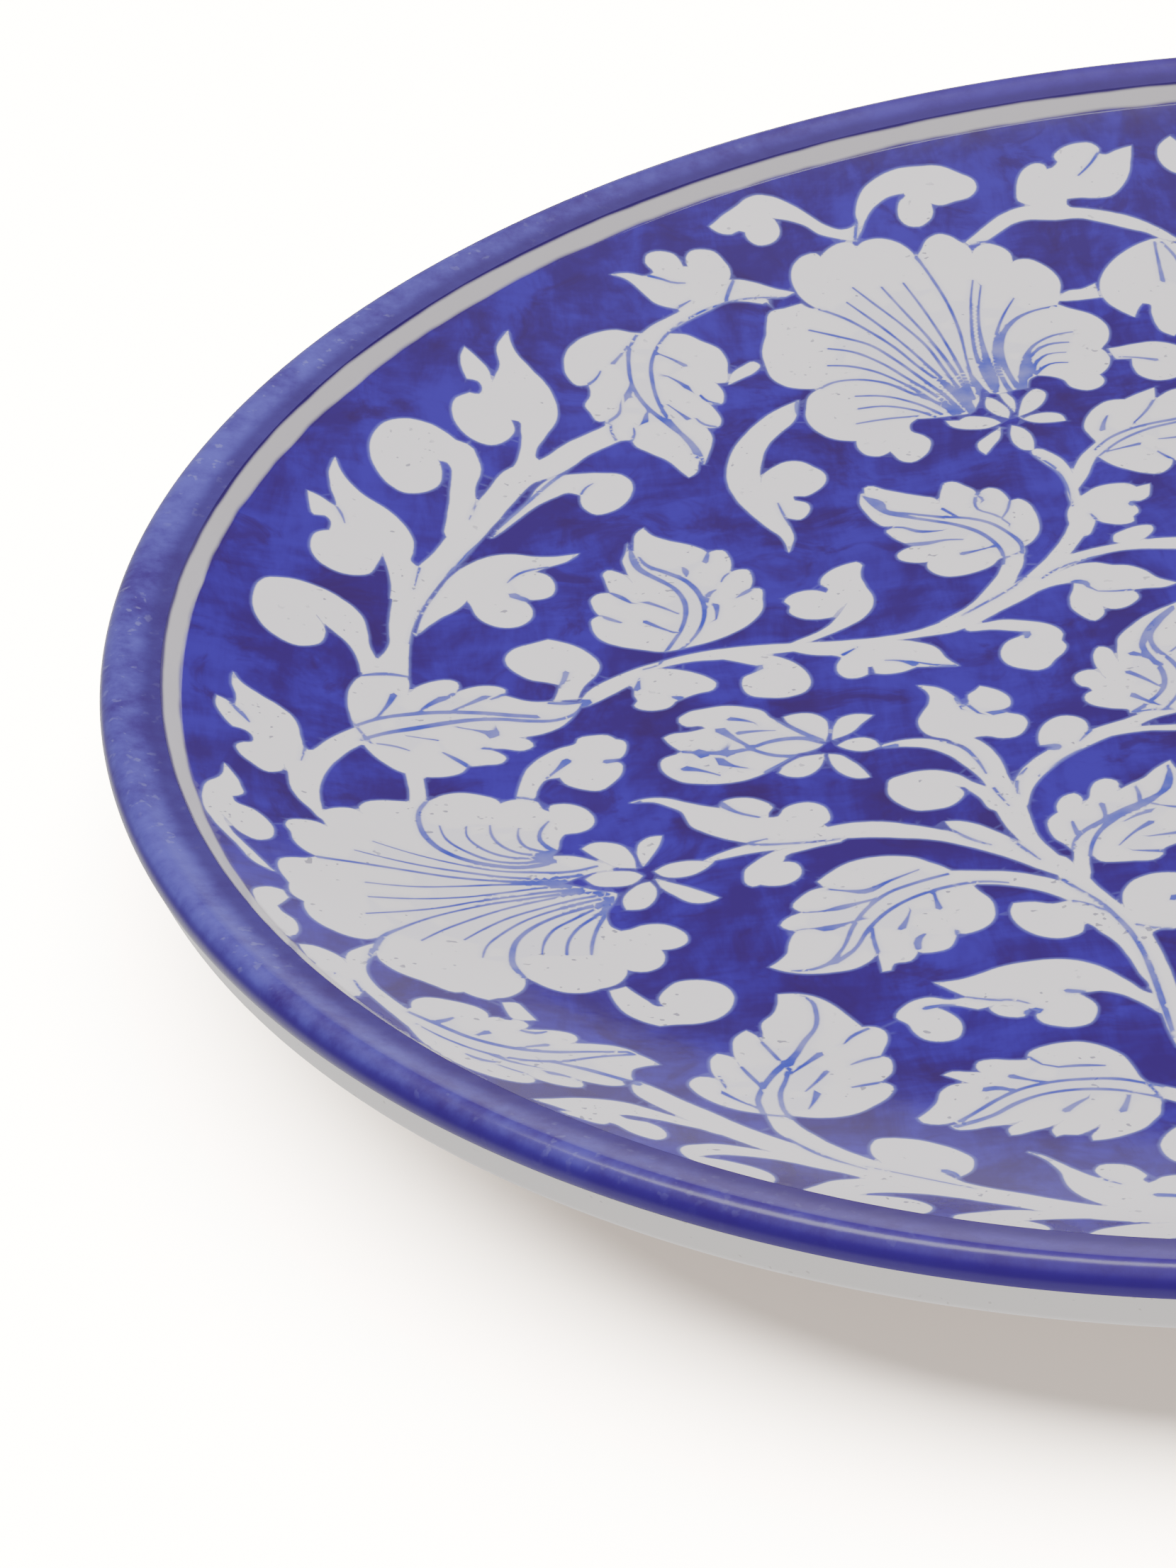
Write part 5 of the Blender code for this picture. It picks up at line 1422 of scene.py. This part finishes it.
def back_line():
    """Round the lower edge of the rim, then down the rising back to the foot ring."""
    points = round_edge(SIDE_ROLL_MIDDLE, SIDE_ROLL, SIDE_ANGLE, BACK_ANGLE, SIDE_STEPS)
    top_radius, top_height = points[-1]
    for step in range(1, BACK_STEPS + 1):
        share = 1 - step / BACK_STEPS
        radius = BASE_RADIUS + share * (top_radius - BASE_RADIUS)
        points.append((radius, UNDERSIDE + share ** 2 * (top_height - UNDERSIDE)))
    points.append((FOOT_RADIUS + GAP, UNDERSIDE))
    return points


def make_rim_band(finish):
    lip = lip_line()
    lip[0] = (lip[0][0] + 2 * HAIR, lip[0][1])
    return new_piece(
        "rim_band", turned("rim_band", lip + inset(lip, GLAZE)[::-1], True, 1.0),
        "rim_glaze", finish)


def make_white_back(finish):
    lip_end = lip_line()[-1]
    back = [(lip_end[0] - HAIR, lip_end[1] - 3 * HAIR)] + back_line()
    return new_piece(
        "white_back", turned("white_back", back + inset(back, GLAZE)[::-1], True),
        "back_glaze", finish)


def make_recess(finish):
    outline = [(0, RECESS_TOP), (RECESS_RADIUS, RECESS_TOP), (RECESS_RADIUS, UNDERSIDE)]
    for share in (0.8, 0.6, 0.4, 0.2):
        outline.append((RECESS_RADIUS * share, UNDERSIDE + RECESS_BOW * sin(pi * share)))
    outline.append((0, UNDERSIDE))
    return new_piece("recess", turned("recess", outline, False), "recess_glaze", finish)


def make_foot(finish):
    """The foot ring, its sides drawn in towards a worn, rounded resting face."""
    outer, inner = FOOT_RADIUS - FOOT_TAPER, FOOT_INNER + FOOT_TAPER
    outline = [(FOOT_RADIUS, FOOT_TOP)]
    outline += round_edge((outer - FOOT_EDGE, FOOT_EDGE), FOOT_EDGE, 0, -90, FOOT_STEPS)
    outline += round_edge((inner + FOOT_EDGE, FOOT_EDGE), FOOT_EDGE, -90, -180, FOOT_STEPS)
    outline.append((FOOT_INNER, FOOT_TOP))
    return new_piece("foot", turned("foot", outline, True), "foot_ring", finish)


class Wire:
    """A shader socket that can be used in sums."""

    def __init__(self, finish, socket):
        self.finish = finish
        self.socket = socket

    def sum(self, operation, first, second=None):
        return self.finish.node("ShaderNodeMath", {"operation": operation}, {0: first, 1: second})

    def __add__(self, other):
        return self.sum("ADD", self, other)

    def __radd__(self, other):
        return self.sum("ADD", other, self)

    def __sub__(self, other):
        return self.sum("SUBTRACT", self, other)

    def __rsub__(self, other):
        return self.sum("SUBTRACT", other, self)

    def __mul__(self, other):
        return self.sum("MULTIPLY", self, other)

    def __rmul__(self, other):
        return self.sum("MULTIPLY", other, self)

    def __pow__(self, other):
        return self.sum("POWER", self, other)

    def between(self, low, high):
        """0 below low and 1 above high, with a soft turn at both."""
        settings = {"interpolation_type": "SMOOTHSTEP"}
        return self.finish.node("ShaderNodeMapRange", settings, {0: self, 1: low, 2: high})


class Finish:
    """One material and the nodes that make it."""

    def __init__(self, name):
        self.material = bpy.data.materials.new(name)
        self.material.use_nodes = True
        self.tree = self.material.node_tree
        self.shader = self.tree.nodes["Principled BSDF"]
        self.place = self.node("ShaderNodeTexCoord", {}, {}, "Object")

    def node(self, kind, settings, values, output=0):
        made = self.tree.nodes.new(kind)
        for name, value in settings.items():
            setattr(made, name, value)
        for name, value in values.items():
            self.set(made.inputs[name], value)
        return Wire(self, made.outputs[output])

    def set(self, socket, value):
        if isinstance(value, Wire):
            self.tree.links.new(value.socket, socket)
        elif value is not None:
            socket.default_value = value

    def put(self, name, value):
        self.set(self.shader.inputs[name], value)

    def field(self, name):
        return self.node("ShaderNodeAttribute", {"attribute_name": name}, {}, "Fac")

    def cloud(self, size, detail=3, rough=0.5, bend=0.0, place=None):
        """Soft noise from 0 to 1 whose patches are about size metres across."""
        values = {
            "Vector": place or self.place, "Scale": 1 / size, "Detail": detail,
            "Roughness": rough, "Distortion": bend,
        }
        return self.node("ShaderNodeTexNoise", {}, values, 0)

    def blend(self, share, first, second):
        """The first colour where share is 0 and the second where it is 1."""
        settings = {"data_type": "RGBA"}
        return self.node("ShaderNodeMix", settings, {0: share, 6: colour(first), 7: colour(second)}, 2)

    def stretched(self, x, y, z, turn=0.0):
        values = {"Vector": self.place, "Scale": (x, y, z), "Rotation": (0, 0, turn)}
        return self.node("ShaderNodeMapping", {}, values)

    def radius(self):
        """Distance from the plate's middle."""
        parts = self.tree.nodes.new("ShaderNodeSeparateXYZ")
        self.set(parts.inputs[0], self.place)
        x, y = Wire(self, parts.outputs["X"]), Wire(self, parts.outputs["Y"])
        return (x * x + y * y) ** 0.5

    def direction(self, degrees):
        """1 on the side of the plate that lies this way, -1 on the other."""
        turn = radians(degrees)
        flat = {0: self.place, 1: (1, 1, 0)}
        level = self.node("ShaderNodeVectorMath", {"operation": "MULTIPLY"}, flat)
        unit = self.node("ShaderNodeVectorMath", {"operation": "NORMALIZE"}, {0: level})
        way = {0: unit, 1: (cos(turn), sin(turn), 0)}
        return self.node("ShaderNodeVectorMath", {"operation": "DOT_PRODUCT"}, way, "Value")

    def bumps(self, height, depth, strength=1.0):
        """Presses a height from 0 to 1 into the surface, depth metres deep."""
        values = {"Strength": strength, "Distance": depth, "Height": height}
        self.put("Normal", self.node("ShaderNodeBump", {}, values))


def colour(value):
    return value if isinstance(value, Wire) else (*value, 1.0)


FLOOR_SIZE = 4.0

# Colours of the glaze and the clay
DEEP_COBALT = (0.024, 0.001, 0.130)
BRIGHT_COBALT = (0.034, 0.008, 0.290)
INDIGO = (0.024, 0.001, 0.085)
PALE_BLUE = (0.180, 0.200, 0.600)
MOTIF_WHITE = (0.820, 0.785, 0.795)
SHADED_WHITE = (0.720, 0.690, 0.740)
LINE_BLUE = (0.030, 0.040, 0.420)
# The white line's white, darker than the motifs' white: painted shade for its steep slope
RING_WHITE_IN_PAINTED_SHADE = (0.540, 0.515, 0.530)
# Navy painted shade in the crease where the face meets the lip's band
NAVY_PAINTED_SHADE = (0.024, 0.004, 0.120)
BACK_WHITE = (0.800, 0.770, 0.740)
FLOOR_WHITE = (0.880, 0.785, 0.700)
SPECK_GREY = (0.20, 0.19, 0.26)
BAND_DEEP = (0.030, 0.003, 0.150)
BAND_BLUE = (0.042, 0.012, 0.260)
# Paler blue for painted light on the left side of the lip
BAND_PAINTED_LIGHT = (0.085, 0.072, 0.430)
BAND_FLECK = (0.30, 0.30, 0.62)
# Darker blue for painted shade round the lip's outer edge
LIP_EDGE_PAINTED_SHADE = (0.030, 0.001, 0.210)
BACK_SHADE = (0.70, 0.67, 0.63)
BACK_SPECK = (0.30, 0.27, 0.24)
FOOT_CLAY = ((0.62, 0.54, 0.44), (0.46, 0.38, 0.30))
BODY_CLAY = ((0.60, 0.50, 0.38), (0.46, 0.36, 0.27))


def watery_cobalt(finish):
    """The blue ground: thin watery brushwork, bright where the colour is thin, indigo where it pooled."""
    drift = finish.cloud(0.020, 4, 0.6, 0.8)
    strokes = finish.cloud(0.006, 4, 0.65, 0.4, finish.stretched(1, 0.22, 1, radians(38)))
    cross = finish.cloud(0.005, 4, 0.6, 0.4, finish.stretched(0.25, 1, 1, radians(20)))
    streaks = (drift * 0.5 + strokes * 0.3 + cross * 0.2).between(0.42, 0.60)
    ground = finish.blend(streaks, DEEP_COBALT, BRIGHT_COBALT)
    pools = finish.cloud(0.011, 4, 0.6, 1.0).between(0.50, 0.68)
    return finish.blend(pools * 0.7, ground, INDIGO)


def painted_glaze():
    """Cobalt painting under a clear glossy glaze."""
    finish = Finish("cobalt_painted_glaze")
    wobble = finish.cloud(0.0024, 2) - 0.5
    inside = finish.field("white") + wobble * 0.22
    line = finish.field("brush") + wobble * 0.14
    ground = watery_cobalt(finish)
    halo = inside.between(-0.65, 0.1)
    ground = finish.blend(halo * 0.6, ground, PALE_BLUE)
    specks = finish.cloud(0.0012, 1).between(0.69, 0.74) * finish.cloud(0.009, 2).between(0.45, 0.6)
    mottle = finish.cloud(0.011, 4, 0.6)
    paint = finish.blend(mottle * 0.35, MOTIF_WHITE, SHADED_WHITE)
    paint = finish.blend(specks * 0.8, paint, SPECK_GREY)
    strength = 1 - line.between(-0.12, 0.19)
    wash = (1 - line.between(-0.2, 0.9)) * 0.18
    paint = finish.blend(wash, paint, PALE_BLUE)
    thin = finish.cloud(0.006, 3).between(0.25, 0.75) * 0.25 + 0.75
    paint = finish.blend(strength * thin, paint, LINE_BLUE)
    face = finish.blend(inside.between(-0.14, 0.14), ground, paint)
    radius = finish.radius()
    ripple = (finish.cloud(0.012, 2) - 0.5) * 0.0007
    # The white line round the well, in a white darkened with painted shade
    ring = (radius + ripple).between(LINE_RADIUS - 0.15 * MM, LINE_RADIUS + 0.4 * MM)
    face = finish.blend(ring, face, RING_WHITE_IN_PAINTED_SHADE)
    # Painted shade: a navy stripe along the face's outer edge, in the crease where it meets the lip
    edge = (radius - ripple * 0.6).between(FACE_RADIUS - 0.5 * MM, FACE_RADIUS - 0.1 * MM)
    finish.put("Base Color", finish.blend(edge, face, NAVY_PAINTED_SHADE))
    finish.put("Roughness", 0.10 + finish.cloud(0.02, 2) * 0.06)
    finish.put("Specular IOR Level", 0.28)
    finish.bumps(finish.cloud(0.014, 2) * 0.7 + finish.cloud(0.003, 2) * 0.3, 0.12 * MM, 0.5)
    return finish.material


def band_glaze():
    """The lip's blue, made paler on the left by painted light and darker along both its edges by painted
    shade.
    """
    finish = Finish("blue_band_glaze")
    radius = finish.radius()
    drift = finish.cloud(0.022, 4, 0.6, 0.6)
    mottle = finish.cloud(0.0035, 4, 0.65)
    shade = (drift * 0.6 + mottle * 0.4).between(0.30, 0.66)
    # Painted light: the lip paler on its left side, the side the light falls on
    light = finish.direction(175).between(0.1, 1.0)
    bright = finish.blend(light, BAND_BLUE, BAND_PAINTED_LIGHT)
    blue = finish.blend(shade, BAND_DEEP, bright)
    # Pale flecks shown only on the left: partly the glaze's own specks, partly painted sheen
    flecks = finish.cloud(0.0016, 2).between(0.60, 0.70) * finish.cloud(0.02, 2).between(0.45, 0.6)
    blue = finish.blend(flecks * light * 0.25, blue, BAND_FLECK)
    ripple = (finish.cloud(0.009, 2) - 0.5) * 0.0010
    # Painted shade: the band darkened in the crease along its inner edge
    dark = 1 - (radius + ripple).between(FACE_RADIUS + 1.2 * MM, FACE_RADIUS + 3.6 * MM)
    blue = finish.blend(dark * 0.75, blue, NAVY_PAINTED_SHADE)
    # Painted shade: the band darker round its outer edge, where the lip turns down away from the light
    outer = (radius + ripple * 0.4).between(LIP_RADIUS - 0.9 * MM, LIP_RADIUS - 0.2 * MM)
    blue = finish.blend(outer * 0.8, blue, LIP_EDGE_PAINTED_SHADE)
    finish.put("Base Color", blue)
    finish.put("Roughness", 0.18 + finish.cloud(0.015, 2) * 0.08)
    finish.put("Specular IOR Level", 0.4)
    finish.bumps(finish.cloud(0.009, 3), 0.15 * MM, 0.6)
    return finish.material


def white_glaze():
    """The off-white glaze of the back, with a few specks."""
    finish = Finish("white_back_glaze")
    shade = finish.cloud(0.018, 4, 0.6)
    specks = finish.cloud(0.0011, 1).between(0.72, 0.78)
    ware = finish.blend(shade * 0.5, BACK_WHITE, BACK_SHADE)
    finish.put("Base Color", finish.blend(specks * 0.4, ware, BACK_SPECK))
    finish.put("Roughness", 0.16 + finish.cloud(0.02, 2) * 0.08)
    finish.bumps(finish.cloud(0.012, 3), 0.12 * MM, 0.5)
    return finish.material


def bare_clay(name, light, dark, grain):
    """Rough clay without glaze."""
    finish = Finish(name)
    shade = finish.cloud(0.008, 5, 0.65)
    finish.put("Base Color", finish.blend(shade, light, dark))
    finish.put("Roughness", 0.8 + finish.cloud(0.003, 3) * 0.15)
    finish.bumps(finish.cloud(grain, 3), 0.1 * MM, 0.6)
    return finish.material


def make_floor():
    """A pale floor that neither lights the plate nor shows in its glaze."""
    half = FLOOR_SIZE / 2
    corners = [(-half, -half, 0), (half, -half, 0), (half, half, 0), (-half, half, 0)]
    mesh = bpy.data.meshes.new("floor")
    mesh.from_pydata(corners, [], [(0, 1, 2, 3)])
    finish = Finish("pale_floor")
    finish.put("Base Color", colour(FLOOR_WHITE))
    finish.put("Roughness", 0.9)
    mesh.materials.append(finish.material)
    floor = bpy.data.objects.new("floor", mesh)
    bpy.context.scene.collection.objects.link(floor)
    floor.visible_diffuse = False
    floor.visible_glossy = False
    return floor


def soft_box(name, place, aim, width, height, power, tint=(1, 1, 1)):
    """A soft rectangular light turned towards aim."""
    light = bpy.data.lights.new(name, "AREA")
    light.shape = "RECTANGLE"
    light.size = width
    light.size_y = height
    light.energy = power
    light.color = tint
    lamp = bpy.data.objects.new(name, light)
    lamp.location = place
    lamp.rotation_euler = (Vector(aim) - Vector(place)).to_track_quat("-Z", "Y").to_euler()
    bpy.context.scene.collection.objects.link(lamp)


def make_light(floor):
    """A pale room brighter overhead, four soft boxes, and a broad lamp that reaches only the floor."""
    world = bpy.data.worlds.new("studio")
    world.use_nodes = True
    tree = world.node_tree
    sky = tree.nodes["Background"]
    way = tree.nodes.new("ShaderNodeTexCoord")
    parts = tree.nodes.new("ShaderNodeSeparateXYZ")
    tree.links.new(way.outputs["Generated"], parts.inputs[0])
    both = tree.nodes.new("ShaderNodeMath")
    both.operation = "ADD"
    levels = (("SMOOTHSTEP", (0.45, 1.0, 0.45, 1.55)), ("LINEAR", (-0.4, -0.1, 0.9, 0.0)))
    for index, (kind, limits) in enumerate(levels):
        level = tree.nodes.new("ShaderNodeMapRange")
        level.interpolation_type = kind
        for name, value in zip(("From Min", "From Max", "To Min", "To Max"), limits):
            level.inputs[name].default_value = value
        tree.links.new(parts.outputs["Z"], level.inputs["Value"])
        tree.links.new(level.outputs[0], both.inputs[index])
    tree.links.new(both.outputs[0], sky.inputs["Strength"])
    sky.inputs["Color"].default_value = (1.0, 0.98, 0.98, 1)
    bpy.context.scene.world = world
    light = bpy.data.lights.new("floor_lamp", "SUN")
    light.energy = 68
    light.color = (1.0, 0.98, 0.94)
    light.angle = radians(85)
    lamp = bpy.data.objects.new("floor_lamp", light)
    lamp.rotation_euler = Vector((-0.30, 0.55, 1.2)).to_track_quat("Z", "Y").to_euler()
    bpy.context.scene.collection.objects.link(lamp)
    lit = bpy.data.collections.new("lit_floor")
    lit.objects.link(floor)
    lamp.light_linking.receiver_collection = lit
    soft_box("overhead_box", (-0.1, 0.40, 1.43), (0, 0, 0), 1.3, 0.42, 15)
    soft_box("front_box", (0.3, -1.6, 1.0), (0, 0, 0), 1.2, 0.7, 7)
    soft_box("low_box", (0.50, 1.40, 0.27), (0, 0, 0.02), 1.3, 0.48, 1.5, (0.88, 0.85, 1.0))
    soft_box("side_box", (0.60, 1.30, 0.54), (-0.08, 0, 0.02), 0.34, 0.26, 0.9, (0.86, 0.84, 1.0))


def make_camera():
    """Looks down at the plate from the front with the head leaned a little to one side."""
    look_down = radians(31.81)
    lean = radians(-6.51)
    right = Vector((1, 0, 0))
    ahead = Vector((0, cos(look_down), -sin(look_down)))
    up = Vector((0, sin(look_down), cos(look_down)))
    side = cos(lean) * right + sin(lean) * up
    top = -sin(lean) * right + cos(lean) * up
    aim = Vector((0, 0, LIP_TOP - LIP_ROLL))
    place = aim - LIP_RADIUS * (0.585 * side + 0.193 * top + 4.153 * ahead)
    data = bpy.data.cameras.new("camera")
    data.sensor_width = 36
    data.lens = 113.92
    data.clip_start = 0.01
    camera = bpy.data.objects.new("camera", data)
    turn = Matrix((side, top, -ahead)).transposed().to_4x4()
    camera.matrix_world = Matrix.Translation(place) @ turn
    bpy.context.scene.collection.objects.link(camera)
    bpy.context.scene.camera = camera


paint_the_motifs()
make_painted_face(painted_glaze())
make_rim_band(band_glaze())
glaze = white_glaze()
make_white_back(glaze)
make_recess(glaze)
make_foot(bare_clay("bare_foot_clay", *FOOT_CLAY, 1.2 * MM))
clay = bare_clay("biscuit_clay", *BODY_CLAY, 1.6 * MM)
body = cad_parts["plate_body"]
for place in body.material_slots:
    place.material = clay
make_light(make_floor())
make_camera()
